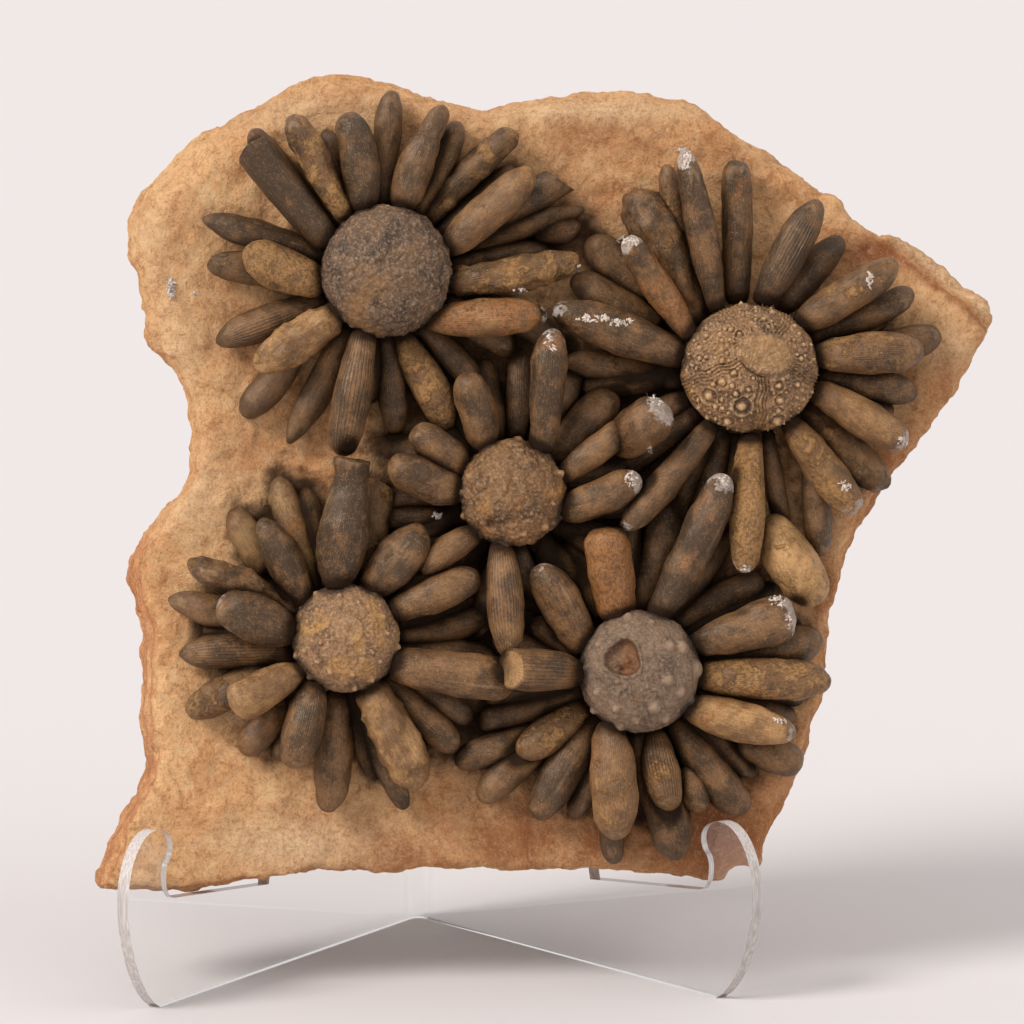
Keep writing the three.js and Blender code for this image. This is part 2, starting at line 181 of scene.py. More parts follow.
# Angles are degrees anticlockwise from straight right about the test, and lengths are millimetres. Upper
# spines are in the order of their solids: base angle, tip angle, reach, width, lifts of base and tip,
# form, roll, then tone, ochre, rust and chalk, and the distance of the base if it isn't beside the test.
UPPER_SPINES = {
    "upper_left": [
        (151, 137, 53.5, 12, 12, 12, "sawn", 180, 0, .1, .05, 0),
        (126, 121, 54.5, 9.5, 13, 13, "caked_cigar", 0, .36, .72, 0, 0),
        (109, 103, 49, 12, 14, 14, "plump", 90, .16, .05, .05, 0),
        (75, 70, 52.5, 11, 13, 14, "capped", 250, .36, .05, .1, 0),
        (22, 34, 53, 12, 14, 18, "plump", 40, .48, .25, .35, 0),
        (351, 3, 57.5, 11, 13, 15, "caked_cigar", 60, .4, .66, .1, 0),
        (313, 344, 49.5, 11.5, 14, 18, "plump", 0, .62, .35, .75, .08),
        (249, 256, 56.5, 12, 14, 14, "ribbed_cigar", 0, .38, .02, .05, 0),
        (221, 216, 48.5, 12, 14, 17, "caked_plump", 180, .64, .45, .4, 0),
        (189, 172, 43, 13, 13, 15, "plump", 200, .45, .78, .1, 0)],
    "upper_right": [
        (148, 133, 54, 9.5, 16, 19, "cigar", 200, .32, .1, .8, .42),
        (117, 106, 68.5, 9.5, 13, 15, "spindle", 30, .3, .2, .1, .42),
        (77, 67, 54.5, 11.5, 14, 16, "ribbed_plump", 0, .2, .02, 0, 0),
        (41, 35, 54.5, 11.5, 13, 15, "plump", 90, .42, .4, .2, 0),
        (9, 5, 53, 12.5, 14, 15, "plump", 0, .4, .5, .1, 0),
        (341, 334, 52.5, 11.5, 13, 15, "cigar", 0, .52, .15, .15, .2),
        (307, 307, 54, 11.5, 14, 15, "cigar", 160, .52, .7, .3, .18),
        (271, 268, 61, 11, 14, 16, "cigar", 20, .5, .95, .15, .12),
        (235, 231, 61, 9.5, 14, 17, "cigar", 300, .36, .05, .05, .1),
        (170, 163, 61.5, 13, 14, 18, "plump", 90, .32, .05, .1, .12),
        (277, 286, 73.5, 15, 8.5, 13, "plump", 0, .9, .45, .05, 0, 47.5)],
    "centre": [
        (57, 76, 50, 11, 17, 21, "cigar", 0, .18, .05, .45, .14),
        (118, 111, 39, 11.5, 14, 16, "plump", 120, .34, .2, .2, 0),
        (19, 30, 42.5, 9, 15, 18, "cigar", 0, .42, .05, .15, 0),
        (24, 29, 52, 15, 12, 25, "plump", 0, .4, .05, .2, .32, 36),
        (343, 6, 38.5, 11.5, 16, 19, "plump", 60, .4, .15, 0, .36),
        (257, 268, 49.5, 12, 16, 20, "ribbed", 0, .42, .05, .1, 0),
        (179, 165, 38, 12.5, 15, 18, "plump", 200, .3, .1, .2, 0),
        (151, 147, 35.5, 11, 13, 16, "plump", 0, .36, .05, .15, 0),
        (226, 219, 36, 9, 15, 16, "plump", 90, .4, .1, .1, 0)],
    "lower_left": [
        (98, 87, 54, 15, 16, 20, "snapped", 0, .16, .02, .05, 0),
        (136, 124, 43.5, 11.5, 14, 16, "spindle", 180, .24, .05, .2, 0),
        (153, 153, 52, 11, 13, 15, "caked_necked", 0, .3, .35, 0, 0),
        (173, 164, 39.5, 14.5, 16, 19, "plump", 0, .22, .02, .05, .03),
        (215, 210, 39.5, 12.5, 16, 19, "teardrop", 30, .66, .1, .1, 0),
        (236, 247, 42, 12, 15, 17, "plump", 0, .3, .15, .15, 0),
        (295, 296, 50, 14, 14, 16, "caked_plump", 180, .6, .4, .1, 0),
        (332, 345, 51.5, 14, 15, 18, "stub", 90, .36, .05, .3, 0),
        (29, 24, 44, 11, 14, 16, "cigar", 0, .36, .25, 0, 0),
        (63, 54, 40, 14, 14, 17, "plump", 60, .3, .3, 0, 0)],
    "lower_right": [
        (71, 66, 64, 12.5, 16, 20, "cigar", 120, .1, .05, .35, .28),
        (110, 103, 44, 14, 14, 17, "stub", 0, .5, .1, 1, 0),
        (154, 133, 44, 13, 14, 16, "plump", 90, .32, .05, .15, .03),
        (180, 178, 39.5, 13.4, 17, 25, "slanted", 0, .36, 0, 0, 0),
        (242, 262, 50.5, 14, 14, 16, "plump", 0, .56, .45, .5, 0),
        (324, 337, 50, 12.5, 16, 18, "spindle", 180, .74, .05, .45, .1),
        (355, 356, 57.5, 13, 14, 15, "plump", 0, .42, .75, .1, 0),
        (25, 20, 49.5, 15, 15, 18, "teardrop", 90, .36, .05, 0, .3)],
}
# Low spines: base angle, tip angle, reach, width, lift of the tip, form, tone, ochre, rust, and the
# distance of the base if it isn't beside the test.
LOW_SPINES = {
    "upper_left": [
        (91, 87, 54, 8.5, 6, "cigar", .42, .2, 0), (50, 47, 57, 9.5, 9, "caked_cigar", .26, .5, 0),
        (141, 133, 58.5, 10, 6, "cigar", .4, .2, 0), (59, 63, 50, 9, 7, "cigar", .4, .2, 0),
        (20, 27, 59, 10, 7, "sawn", .2, .05, 0), (20, 17, 63, 8, 5, "spindle", .34, .15, 0),
        (14, 13, 60.5, 9, 4, "plump", .2, .05, .4, 46), (303, 311, 51.5, 8.5, 5, "cigar", .34, .1, 0),
        (283, 292, 52, 11, 7, "plump", .45, .75, .1), (268, 273, 48.5, 9, 5, "cigar", .3, .1, 0),
        (237, 240, 58.5, 9.5, 5, "spindle", .42, .15, .1), (206, 202, 55, 11, 6, "ribbed", .42, .15, 0),
        (222, 225, 60.5, 10, 4, "plump", .4, .3, .1, 35), (186, 177, 53.5, 11, 5, "spindle", .36, .25, .4),
        (164, 163, 57, 9.5, 6, "spindle", .2, .1, .05), (2, 8, 50, 9, 3, "plump", .3, .1, 0),
        (335, 327, 46, 9, 5, "plump", .34, .3, .2), (346, 338, 58, 9, 3, "cigar", .3, .1, .1, 30),
        (32, 38, 50, 9, 4, "plump", .3, .2, 0), (120, 112, 46, 8, 4, "plump", .3, .3, 0),
        (256, 262, 40, 8, 4, "plump", .26, .1, 0)],
    "upper_right": [
        (138, 122, 63.5, 15, 6, "caked_cigar", .3, .3, .55), (123, 111, 66, 8, 7, "cigar", .4, .5, .1),
        (97, 92, 62.5, 9.5, 7, "stub", .3, .15, .35), (60, 53, 49, 10, 5, "plump", .16, .05, 0),
        (25, 24, 55.5, 9, 7, "cigar", .2, .05, 0), (7, 9, 60, 10, 5, "cigar", .36, .15, 0, 31),
        (355, 351, 52, 11, 6, "plump", .26, .1, 0), (327, 320, 55.5, 11, 6, "caked_cigar", .4, .5, .1),
        (289, 283, 50.5, 6.5, 5, "cigar", .32, .1, 0), (304, 291, 61, 9, 5, "cigar", .36, .1, .1, 35),
        (251, 250, 47.5, 9.5, 5, "cigar", .2, .1, 0), (189, 177, 54.5, 9.5, 6, "cigar", .34, .1, .1),
        (154, 152, 59, 11, 6, "cigar", .38, .15, .2, 29), (143, 140, 61, 12, 4, "plump", .4, .3, .2, 36),
        (207, 204, 44, 10, 4, "plump", .3, .1, 0), (222, 218, 52, 10, 4, "cigar", .3, .15, 0),
        (240, 243, 58, 9, 4, "plump", .3, .1, .1), (262, 258, 52, 9, 3, "plump", .26, .1, 0),
        (180, 186, 50, 10, 3, "plump", .3, .1, .1), (162, 160, 48, 9, 4, "cigar", .3, .2, .2),
        (16, 20, 46, 9, 4, "plump", .24, .1, 0),
        (347, 343, 47, 9, 4, "plump", .26, .1, 0), (316, 312, 50, 9, 4, "plump", .3, .2, .1)],
    "centre": [
        (84, 86, 43.5, 8, 5, "cigar", .24, .1, 0), (41, 43, 44, 13, 6, "plump", .38, .15, .1),
        (210, 191, 39.5, 8, 6, "cigar", .24, .1, 0), (294, 311, 39, 9, 6, "ribbed", .34, .1, .05),
        (322, 336, 34, 8, 5, "plump", .2, .1, 0), (138, 131, 36, 9, 4, "plump", .3, .1, 0),
        (232, 243, 36, 8, 5, "cigar", .26, .1, .1), (275, 286, 36, 8, 4, "cigar", .3, .1, .1),
        (104, 100, 41, 9, 4, "plump", .3, .15, .1), (126, 124, 42, 9, 3, "plump", .34, .2, .1),
        (160, 157, 42, 10, 3, "plump", .3, .1, 0), (186, 181, 44, 9, 3, "cigar", .3, .2, .1),
        (196, 204, 38, 9, 4, "plump", .36, .2, .1), (240, 231, 44, 9, 3, "plump", .28, .1, 0),
        (262, 256, 44, 9, 3, "cigar", .28, .1, 0), (304, 300, 38, 9, 4, "plump", .34, .1, .1),
        (334, 324, 42, 10, 3, "plump", .3, .15, .2), (355, 352, 42, 9, 3, "plump", .26, .1, 0),
        (10, 14, 44, 9, 3, "cigar", .26, .1, 0), (62, 60, 42, 9, 4, "plump", .28, .1, 0)],
    "lower_left": [
        (67, 76, 46.5, 9.5, 7, "sawn", .44, .55, 0), (120, 112, 52, 12, 3, "spindle", .8, .2, .4),
        (140, 130, 51, 10, 1.5, "plump", .85, .2, .5, 30), (170, 167, 54, 10, 6, "spindle", .42, .1, 0, 22),
        (194, 185, 49.5, 12.5, 6, "ribbed", .38, .15, 0), (201, 205, 52, 11, 6, "plump", .44, .6, .1, 24),
        (229, 228, 46, 10, 5, "plump", .4, .2, .7, 26), (259, 264, 52.5, 11.5, 6, "plump", .4, .1, .2),
        (276, 289, 54.5, 8, 5, "cigar", .16, .05, 0), (314, 314, 47.5, 10, 6, "cigar", .34, .15, 0),
        (359, 9, 44.5, 10, 5, "cigar", .34, .15, 0), (36, 40, 42, 9, 4, "plump", .26, .1, 0),
        (14, 15, 42, 9, 4, "plump", .26, .1, 0), (344, 352, 46, 9, 3, "plump", .26, .1, 0),
        (50, 47, 44, 9, 4, "cigar", .28, .2, 0), (80, 82, 44, 9, 3, "plump", .28, .2, 0),
        (110, 104, 46, 9, 3, "plump", .34, .2, .1), (128, 120, 42, 9, 3, "plump", .3, .2, 0),
        (160, 158, 42, 9, 3, "plump", .3, .1, 0), (184, 176, 42, 9, 3, "plump", .28, .1, 0),
        (246, 240, 42, 9, 3, "plump", .3, .2, .2), (284, 282, 44, 9, 3, "plump", .26, .1, .1),
        (305, 303, 43, 9, 3, "plump", .3, .2, .1), (326, 326, 46, 9, 4, "plump", .3, .2, 0)],
    "lower_right": [
        (89, 78, 51.5, 12, 6, "cigar", .24, .1, .1), (161, 153, 35, 10, 6, "plump", .32, .1, 0),
        (216, 214, 44, 11, 12, "plump", .42, .6, 0), (218, 219, 61, 10, 6, "plump", .4, .15, .1, 36),
        (222, 206, 61, 10, 5, "cigar", .34, .1, .05, 26), (230, 235, 53.5, 13, 6, "plump", .3, .05, 0),
        (256, 263, 58.5, 8, 4, "cigar", .26, .05, 0, 33), (287, 282, 42.5, 12, 14, "ribbed_plump", .46, .45, .1),
        (268, 282, 58.5, 14, 6, "plump", .32, .1, .15), (295, 294, 46.5, 8.5, 8, "plump", .38, .15, 0, 32),
        (306, 307, 53.5, 12, 6, "cigar", .34, .15, 0), (324, 330, 58, 11, 5, "cigar", .4, .1, .3, 37),
        (7, 9, 57.5, 14, 6, "plump", .26, .05, .1), (50, 35, 47, 11, 6, "cigar", .24, .1, 0),
        (340, 343, 50, 10, 4, "plump", .3, .1, 0), (120, 118, 44, 10, 4, "plump", .28, .1, 0),
        (138, 144, 42, 9, 3, "cigar", .28, .1, .1), (170, 167, 44, 9, 4, "plump", .28, .1, 0),
        (188, 190, 46, 10, 3, "plump", .28, .1, .1), (200, 198, 50, 10, 3, "cigar", .3, .2, .1),
        (98, 92, 48, 9, 3, "plump", .24, .1, .1), (60, 56, 50, 10, 3, "plump", .26, .1, 0),
        (38, 30, 50, 9, 3, "plump", .24, .1, 0), (16, 15, 52, 10, 3, "plump", .26, .1, 0),
        (352, 350, 52, 10, 3, "plump", .28, .1, 0), (314, 318, 48, 9, 3, "plump", .28, .1, .1),
        (275, 272, 44, 9, 3, "plump", .28, .1, .1), (247, 246, 48, 9, 3, "plump", .26, .1, 0)],
}
NECK_TUCK = 2.5 * MM
LOW_NECK_LIFT = 6
LOW_NECK_TUCK = 2


def upper_club(urchin, base_angle, tip_angle, reach, width, base_lift, tip_lift, form, roll, *look):
    """Base, tip, width, form, roll and look of a club of the upper side."""
    start = look[4] if len(look) > 4 else beside_test(urchin)
    base = about(urchin, base_angle, start, base_lift)
    tip = about(urchin, tip_angle, reach, tip_lift)
    base -= (tip - base).normalized() * NECK_TUCK
    return base, tip, width * MM, form, roll, look[:4]


def low_club(urchin, base_angle, tip_angle, reach, width, tip_lift, form, tone, ochre, rust, start=None):
    """Base, tip, width, form, roll and look of a club of the underside."""
    base = about(urchin, base_angle, start or beside_test(urchin) - LOW_NECK_TUCK,
                 tip_lift if start else LOW_NECK_LIFT)
    tip = about(urchin, tip_angle, reach, tip_lift)
    return base, tip, width * MM, form, random.uniform(0, 360), (tone, ochre, rust, 0)


random.seed(5)
clubs_of = {}
for urchin in URCHINS:
    for number, row in enumerate(UPPER_SPINES[urchin], 1):
        clubs_of[f"{urchin}_spine_{number:02d}"] = [upper_club(urchin, *row)]
    clubs_of[f"{urchin}_low_spines"] = [low_club(urchin, *row) for row in LOW_SPINES[urchin]]
all_clubs = [club for clubs in clubs_of.values() for club in clubs]


def near_clubs(places, skip=None):
    """How far each place is from the nearest club, and how crowded with clubs it is, in millimetres."""
    nearest = np.full(len(places), 99.0)
    crowding = np.zeros(len(places))
    middle = (places.min(axis=0) + places.max(axis=0)) / 2
    spread = np.linalg.norm(places - middle, axis=1).max()
    for club in all_clubs:
        base, tip, width = club[:3]
        if club is skip or (Vector(middle) - (base + tip) / 2).length > spread + (tip - base).length / 2 + 14 * MM:
            continue
        start, along = np.array(base), np.array(tip - base)
        share = np.clip((places - start) @ along / (along @ along), 0, 1)
        off = np.linalg.norm(places - start - share[:, None] * along, axis=1)
        girth = width / 2 * (0.5 + 0.5 * np.sin(math.pi * (0.1 + 0.82 * share)))
        gap = (off - girth) / MM
        nearest = np.minimum(nearest, gap)
        crowding += np.exp(-np.clip(gap, 0, None) / 6)
    return nearest, crowding


# ---- Sandstone slab ----
# A block split from a bed of fine golden sandstone. Its front was cleared round the fossils with small
# tools, its upper left rim is worn round, and its other edges are as they broke, so its layers show.
FACET_GRID = 1.6 * MM
ROCK_GRID = 1.3 * MM
LEDGE_START, LEDGE_END = (116, 193), (148, 167)
LEDGE_DROP = 6 * MM
LEDGE_FLARE = 2.2 * MM
LEDGE_DEPTH = 14 * MM
HARD_NOISE_MEAN = 0.3
BED_STEPS = [(3.5, -1.1), (7, 0.8), (11.5, -0.9), (15, 1.2), (19, -1.0), (22, 0.9)]    # depth and step


def upright_copy(node_name, name):
    """A merged copy of a CAD solid, stood upright in the slab's own frame."""
    piece = bpy.data.objects.new(name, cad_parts[node_name].data.copy())
    bpy.context.scene.collection.objects.link(piece)
    piece.data.transform(LEANED.inverted())
    alone(piece)
    bpy.ops.object.mode_set(mode="EDIT")
    bpy.ops.mesh.select_all(action="SELECT")
    bpy.ops.mesh.remove_doubles(threshold=0.01 * MM)
    bpy.ops.object.mode_set(mode="OBJECT")
    return piece


def keep_modifiers(piece):
    alone(piece)
    for modifier in list(piece.modifiers):
        bpy.ops.object.modifier_apply(modifier=modifier.name)


def lean_back(piece):
    """Leans a finished piece back with the slab and leaves its place in its mesh."""
    piece.data.transform(LEANED)


def corners_of(piece):
    """The places of a piece's vertices, as an array."""
    places = np.empty(len(piece.data.vertices) * 3)
    piece.data.vertices.foreach_get("co", places)
    return places.reshape(-1, 3)


def record_on(piece, name, values, kind="FLOAT"):
    """Keeps a value for each vertex, for a material to read."""
    attribute = piece.data.attributes.new(name, kind, "POINT")
    field = {"FLOAT": "value", "FLOAT_VECTOR": "vector", "FLOAT_COLOR": "color"}[kind]
    attribute.data.foreach_set(field, np.ascontiguousarray(values, dtype=np.float32).ravel())


def unevenness(name, kind, size, **settings):
    texture = bpy.data.textures.new(name, kind)
    texture.noise_scale = size
    for setting, value in settings.items():
        setattr(texture, setting, value)
    return texture


def wear(piece, texture, depth, group="", direction="NORMAL"):
    """Moves a piece's surface in and out by a texture."""
    displace = piece.modifiers.new(texture.name, "DISPLACE")
    displace.texture = texture
    displace.texture_coords = "LOCAL"
    displace.strength = depth
    displace.mid_level = HARD_NOISE_MEAN if getattr(texture, "noise_type", "") == "HARD_NOISE" else 0.5
    displace.direction = direction
    displace.vertex_group = group


def weigh(piece, name, weights):
    group = piece.vertex_groups.new(name=name)
    for i in np.nonzero(weights > 0.01)[0]:
        group.add([int(i)], float(min(weights[i], 1)), "REPLACE")


def ease(low, high, value):
    """0 below low, 1 above high, and smooth between."""
    share = np.clip((value - low) / (high - low), 0, 1)
    return share * share * (3 - 2 * share)


def spot(places, across, up, wide, tall):
    """1 at a place on the front, and less around it."""
    return np.exp(-((places[:, 0] / MM - across) / wide) ** 2 - ((places[:, 2] / MM - up) / tall) ** 2)


def even_faces(piece, size):
    """Remakes a piece's mesh from square faces of a size."""
    remesh = piece.modifiers.new("even faces", "REMESH")
    remesh.mode = "VOXEL"
    remesh.voxel_size = size
    keep_modifiers(piece)


def facing_front(piece):
    """How squarely each vertex faces the front: 1 on the front, 0 on a side and -1 on the back."""
    normals = np.empty(len(piece.data.vertices) * 3)
    piece.data.vertex_normals.foreach_get("vector", normals)
    return -normals.reshape(-1, 3)[:, 1]


slab = upright_copy("sandstone_slab", "sandstone_slab_rock")
even_faces(slab, FACET_GRID)
outward = facing_front(slab)
weigh(slab, "front", ease(0.5, 0.9, np.abs(outward)))
worn_top = ease(0.18, 0.215, corners_of(slab)[:, 2])
weigh(slab, "broken edge", (1 - ease(0.6, 0.9, np.abs(outward))) * (1 - 0.6 * worn_top))
wear(slab, unevenness("rolling", "CLOUDS", 34 * MM, noise_depth=1), 3.4 * MM, "front")
wear(slab, unevenness("chips", "VORONOI", 18 * MM), 2.2 * MM, "broken edge")
wear(slab, unevenness("breaks", "CLOUDS", 7 * MM, noise_type="HARD_NOISE", noise_depth=2), 1.3 * MM, "broken edge")
keep_modifiers(slab)
slab.vertex_groups.clear()
even_faces(slab, ROCK_GRID)

places = corners_of(slab)
outward = facing_front(slab)
across, up = places[:, 0] / MM, places[:, 2] / MM
beyond_ledge = (across - LEDGE_START[0]) * (LEDGE_START[1] - LEDGE_END[1]) + (
    up - LEDGE_START[1]) * (LEDGE_END[0] - LEDGE_START[0])
beyond_ledge /= math.dist(LEDGE_START, LEDGE_END)
ledge = ease(0, 0.9, beyond_ledge) * ease(100, 116, across)
sloped = ledge * (0.6 + 0.4 * np.clip(beyond_ledge / 11, 0, 1))
weigh(slab, "ledge", sloped * (1 - np.clip(places[:, 1] / LEDGE_DEPTH, 0, 1)))
weigh(slab, "broken edge", 1 - ease(0.6, 0.9, np.abs(outward)))
weigh(slab, "tooled", ease(0.5, 0.9, outward) * ease(-96, -80, across) * (1 - ledge))
weigh(slab, "flared", ledge * (1 - ease(0.4, 0.8, outward)) * (1 - ease(12, 22, places[:, 1] / MM)))
flare = slab.modifiers.new("flared", "DISPLACE")
flare.strength = LEDGE_FLARE
flare.mid_level = 0
flare.vertex_group = "flared"
drop = slab.modifiers.new("ledge", "DISPLACE")
drop.direction = "Y"
drop.strength = LEDGE_DROP
drop.mid_level = 0
drop.vertex_group = "ledge"
wear(slab, unevenness("hollows", "CLOUDS", 12 * MM, noise_type="HARD_NOISE", noise_depth=2), 2.5 * MM)
wear(slab, unevenness("scoops", "CLOUDS", 8 * MM, noise_depth=1), 1.6 * MM, "tooled")
wear(slab, unevenness("pecks", "CLOUDS", 4 * MM, noise_type="HARD_NOISE", noise_depth=3), 1.0 * MM)
wear(slab, unevenness("steps", "VORONOI", 5 * MM), 0.35 * MM, "broken edge")
keep_modifiers(slab)
slab.vertex_groups.clear()
depths = corners_of(slab)[:, 1] / MM
on_side = 1 - ease(0.5, 0.85, np.abs(facing_front(slab)))
wander = 1.2 * np.sin(corners_of(slab)[:, 0] / 0.021) + 0.9 * np.sin(corners_of(slab)[:, 2] / 0.017 + 1)
for bed, (bed_depth, step) in enumerate(BED_STEPS):
    weigh(slab, f"bed {bed}", on_side * ease(bed_depth, bed_depth + 0.7, depths + wander))
    split = slab.modifiers.new(f"bed {bed}", "DISPLACE")
    split.strength = step * MM
    split.mid_level = 0
    split.vertex_group = f"bed {bed}"
keep_modifiers(slab)

places = corners_of(slab)
outward = facing_front(slab)
nearest, crowding = near_clubs(places)
across, up = places[:, 0] / MM, places[:, 2] / MM
front = ease(0.2, 0.7, outward)
side_red = (1 - ease(0.3, 0.75, outward)) * np.maximum(
    ease(-85, -100, across) * ease(118, 96, up), 0.55 * ease(150, 40, up))
cream = front * np.maximum.reduce([
    spot(places, -66, 12, 26, 9), 0.8 * spot(places, 30, 231, 46, 4),
    0.7 * spot(places, -98, 150, 8, 34), 0.6 * spot(places, -106, 196, 8, 24),
    0.7 * spot(places, -70, 231, 30, 7), 0.9 * ledge,
    0.5 * spot(places, 136, 158, 9, 7), 0.6 * spot(places, -92, 118, 14, 16)])
lip = np.exp(-((beyond_ledge + 1.8) / 1.6) ** 2) * ease(108, 118, across)
brown = front * np.maximum.reduce([lip,
    spot(places, 10, 10, 54, 18), 0.85 * spot(places, -36, 8, 30, 12), spot(places, 66, 14, 26, 28),
    0.65 * spot(places, 27, 222, 42, 13), 0.7 * spot(places, 20, 204, 22, 20), 1.3 * spot(places, 112, 188, 14, 8), 0.9 * spot(places, 130, 148, 16, 13),
    spot(places, 116, 118, 10, 22), spot(places, 98, 82, 8, 24), 0.9 * spot(places, 92, 30, 12, 30),
    0.5 * spot(places, 72, 214, 30, 12), 0.5 * spot(places, -20, 226, 20, 8),
    0.7 * spot(places, 126, 130, 16, 24), 0.5 * spot(places, -57, 234, 26, 8), 0.5 * spot(places, -82, 170, 14, 20),
    0.4 * spot(places, -74, 128, 16, 12), 0.45 * spot(places, 86, 60, 18, 36)])
brown = np.maximum(brown, 0.85 * (1 - front) * ease(40, 90, across) * ease(170, 120, up))
# Dirt and painted shade: the rock is darkened next to the clubs, and most where they crowd, for the dirt and the
# shade that gather in the gaps.
dirt_and_shade = np.clip(0.26 * np.exp(-np.clip(nearest, 0, None) / 3) + 0.36 * np.clip(crowding - 0.9, 0, None), 0, 1)
dirt_and_shade *= 1 - ease(3, 8, places[:, 1] / MM)
record_on(slab, "weathering_and_shade", np.stack([side_red, cream, dirt_and_shade, brown], axis=1), "FLOAT_COLOR")


def paint(red, green, blue):
    """A colour as a paint chart gives it, from 0 to 255, turned into light."""
    chart = (channel / 255 for channel in (red, green, blue))
    return tuple(c / 12.92 if c <= 0.04045 else ((c + 0.055) / 1.055) ** 2.4 for c in chart) + (1,)


def blend_colours(tree, share, first, second, how="MIX"):
    """A colour between two, or one laid over the other."""
    mix = node(tree, "Mix", data_type="RGBA", blend_type=how, clamp_factor=True)
    for socket, value in ((mix.inputs[0], share), (mix.inputs[6], first), (mix.inputs[7], second)):
        if isinstance(value, bpy.types.NodeSocket):
            tree.links.new(value, socket)
        else:
            socket.default_value = value
    return mix.outputs[2]


def sums(tree, operation, *values):
    """A sum, product or other working of two or three numbers."""
    made = node(tree, "Math", operation=operation)
    for socket, value in zip(made.inputs, values):
        if isinstance(value, bpy.types.NodeSocket):
            tree.links.new(value, socket)
        else:
            socket.default_value = value
    return made.outputs[0]


def fade(tree, value, low, high, from_value=0.0, to_value=1.0):
    """Rises smoothly between two limits of a value."""
    return node(tree, "MapRange", {
        "Value": value, "From Min": low, "From Max": high, "To Min": from_value, "To Max": to_value,
    }, interpolation_type="SMOOTHSTEP").outputs[0]


def mottle(tree, place, per_metre, detail=4.0, roughness=0.6, distortion=0.0):
    """Cloudy noise with so many patches to the metre."""
    return node(tree, "TexNoise", {
        "Vector": place, "Scale": per_metre, "Detail": detail, "Roughness": roughness,
        "Distortion": distortion}).outputs[0]


def new_effect(name, inputs, outputs):
    """An empty node group, with the values that go in and the ones that come out."""
    group = bpy.data.node_groups.new(name, "ShaderNodeTree")
    for label, kind in inputs.items():
        group.interface.new_socket(label, in_out="INPUT", socket_type="NodeSocket" + kind)
    for label, kind in outputs.items():
        group.interface.new_socket(label, in_out="OUTPUT", socket_type="NodeSocket" + kind)
    return group, group.nodes.new("NodeGroupInput").outputs, group.nodes.new("NodeGroupOutput").inputs


def effect(tree, group, sockets):
    """Places a shared effect in a material."""
    made = tree.nodes.new("ShaderNodeGroup")
    made.node_tree = group
    for name, value in sockets.items():
        if isinstance(value, bpy.types.NodeSocket):
            tree.links.new(value, made.inputs[name])
        else:
            made.inputs[name].default_value = value
    return made.outputs


# Grit: fine mineral grains, some darker and some paler than the rest, that also stand up a little.
grit, given, made = new_effect(
    "mineral grit", {"Place": "Vector", "Per Metre": "Float"},
    {"Dark": "Float", "Pale": "Float", "Height": "Float"})
fine = node(grit, "TexNoise", {"Vector": given["Place"], "Scale": given["Per Metre"], "Detail": 2.0})
coarse = node(grit, "TexNoise", {
    "Vector": given["Place"], "Scale": sums(grit, "MULTIPLY", given["Per Metre"], 0.37), "Detail": 3.0})
both = sums(grit, "ADD", sums(grit, "MULTIPLY", fine.outputs[0], 0.6),
            sums(grit, "MULTIPLY", coarse.outputs[0], 0.4))
grit.links.new(fade(grit, both, 0.50, 0.38), made["Dark"])
grit.links.new(fade(grit, both, 0.52, 0.64), made["Pale"])
grit.links.new(both, made["Height"])

# Crust: ragged patches that cover more of the surface as Cover rises from 0 to 1.
crust, given, made = new_effect(
    "ragged crust", {"Place": "Vector", "Per Metre": "Float", "Cover": "Float", "Edge": "Float"},
    {"Mask": "Float"})
cloud = node(crust, "TexNoise", {
    "Vector": given["Place"], "Scale": given["Per Metre"], "Detail": 7.0, "Roughness": 0.62})
bar = sums(crust, "SUBTRACT", 0.70, sums(crust, "MULTIPLY", given["Cover"], 0.42))
crust.links.new(
    fade(crust, cloud.outputs[0], bar, sums(crust, "ADD", bar, given["Edge"])), made["Mask"])


def slab_frame(tree):
    """A place in the upright slab's frame, where -Y is the height above its front."""
    return node(tree, "Mapping", {
        "Vector": node(tree, "TexCoord").outputs["Object"],
        "Location": SLAB_FOOT, "Rotation": (-SLAB_LEAN, 0, 0)}, vector_type="TEXTURE").outputs[0]


sandstone, tree, shader = finish_material("golden_sandstone")
slab_place = slab_frame(tree)
weathering_and_shade = node(tree, "Attribute", attribute_name="weathering_and_shade")
zones = node(tree, "SeparateColor", {"Color": weathering_and_shade.outputs["Color"]}).outputs
is_brown = weathering_and_shade.outputs["Alpha"]
broad = mottle(tree, slab_place, 30, 6, 0.65, 0.5)
patchy = mottle(tree, slab_place, 190, 8, 0.74, 0.6)
small = mottle(tree, slab_place, 700, 5, 0.75)
colour = blend_colours(tree, fade(tree, broad, 0.38, 0.62), paint(246, 195, 141), paint(230, 170, 116))
colour = blend_colours(tree, sums(tree, "MULTIPLY", fade(tree, patchy, 0.5, 0.62), 0.52), colour,
                       paint(176, 116, 70))
colour = blend_colours(tree, sums(tree, "MULTIPLY", fade(tree, patchy, 0.47, 0.37), 0.66), colour,
                       paint(244, 206, 156))
browner = sums(tree, "MULTIPLY", is_brown, fade(tree, broad, 0.3, 0.62, 0.45, 0.95))
colour = blend_colours(tree, browner, colour, paint(160, 98, 60))
creamy = sums(tree, "MULTIPLY", zones[1], fade(tree, small, 0.3, 0.62, 0.95, 0.4))
colour = blend_colours(tree, creamy, colour, paint(243, 210, 168))
layers = node(tree, "Mapping", {"Vector": slab_place, "Scale": (14, 460, 14)}).outputs[0]
lines = mottle(tree, layers, 1.0, 5, 0.7, 0.3)
red = blend_colours(tree, fade(tree, lines, 0.38, 0.62), paint(224, 156, 108), paint(188, 116, 76))
colour = blend_colours(tree, sums(tree, "MULTIPLY", zones[0], 0.8), colour, red)
colour = blend_colours(tree, sums(tree, "MULTIPLY", fade(tree, small, 0.52, 0.66), 0.34), colour, paint(146, 92, 54))
grains = effect(tree, grit, {"Place": slab_place, "Per Metre": 1500.0})
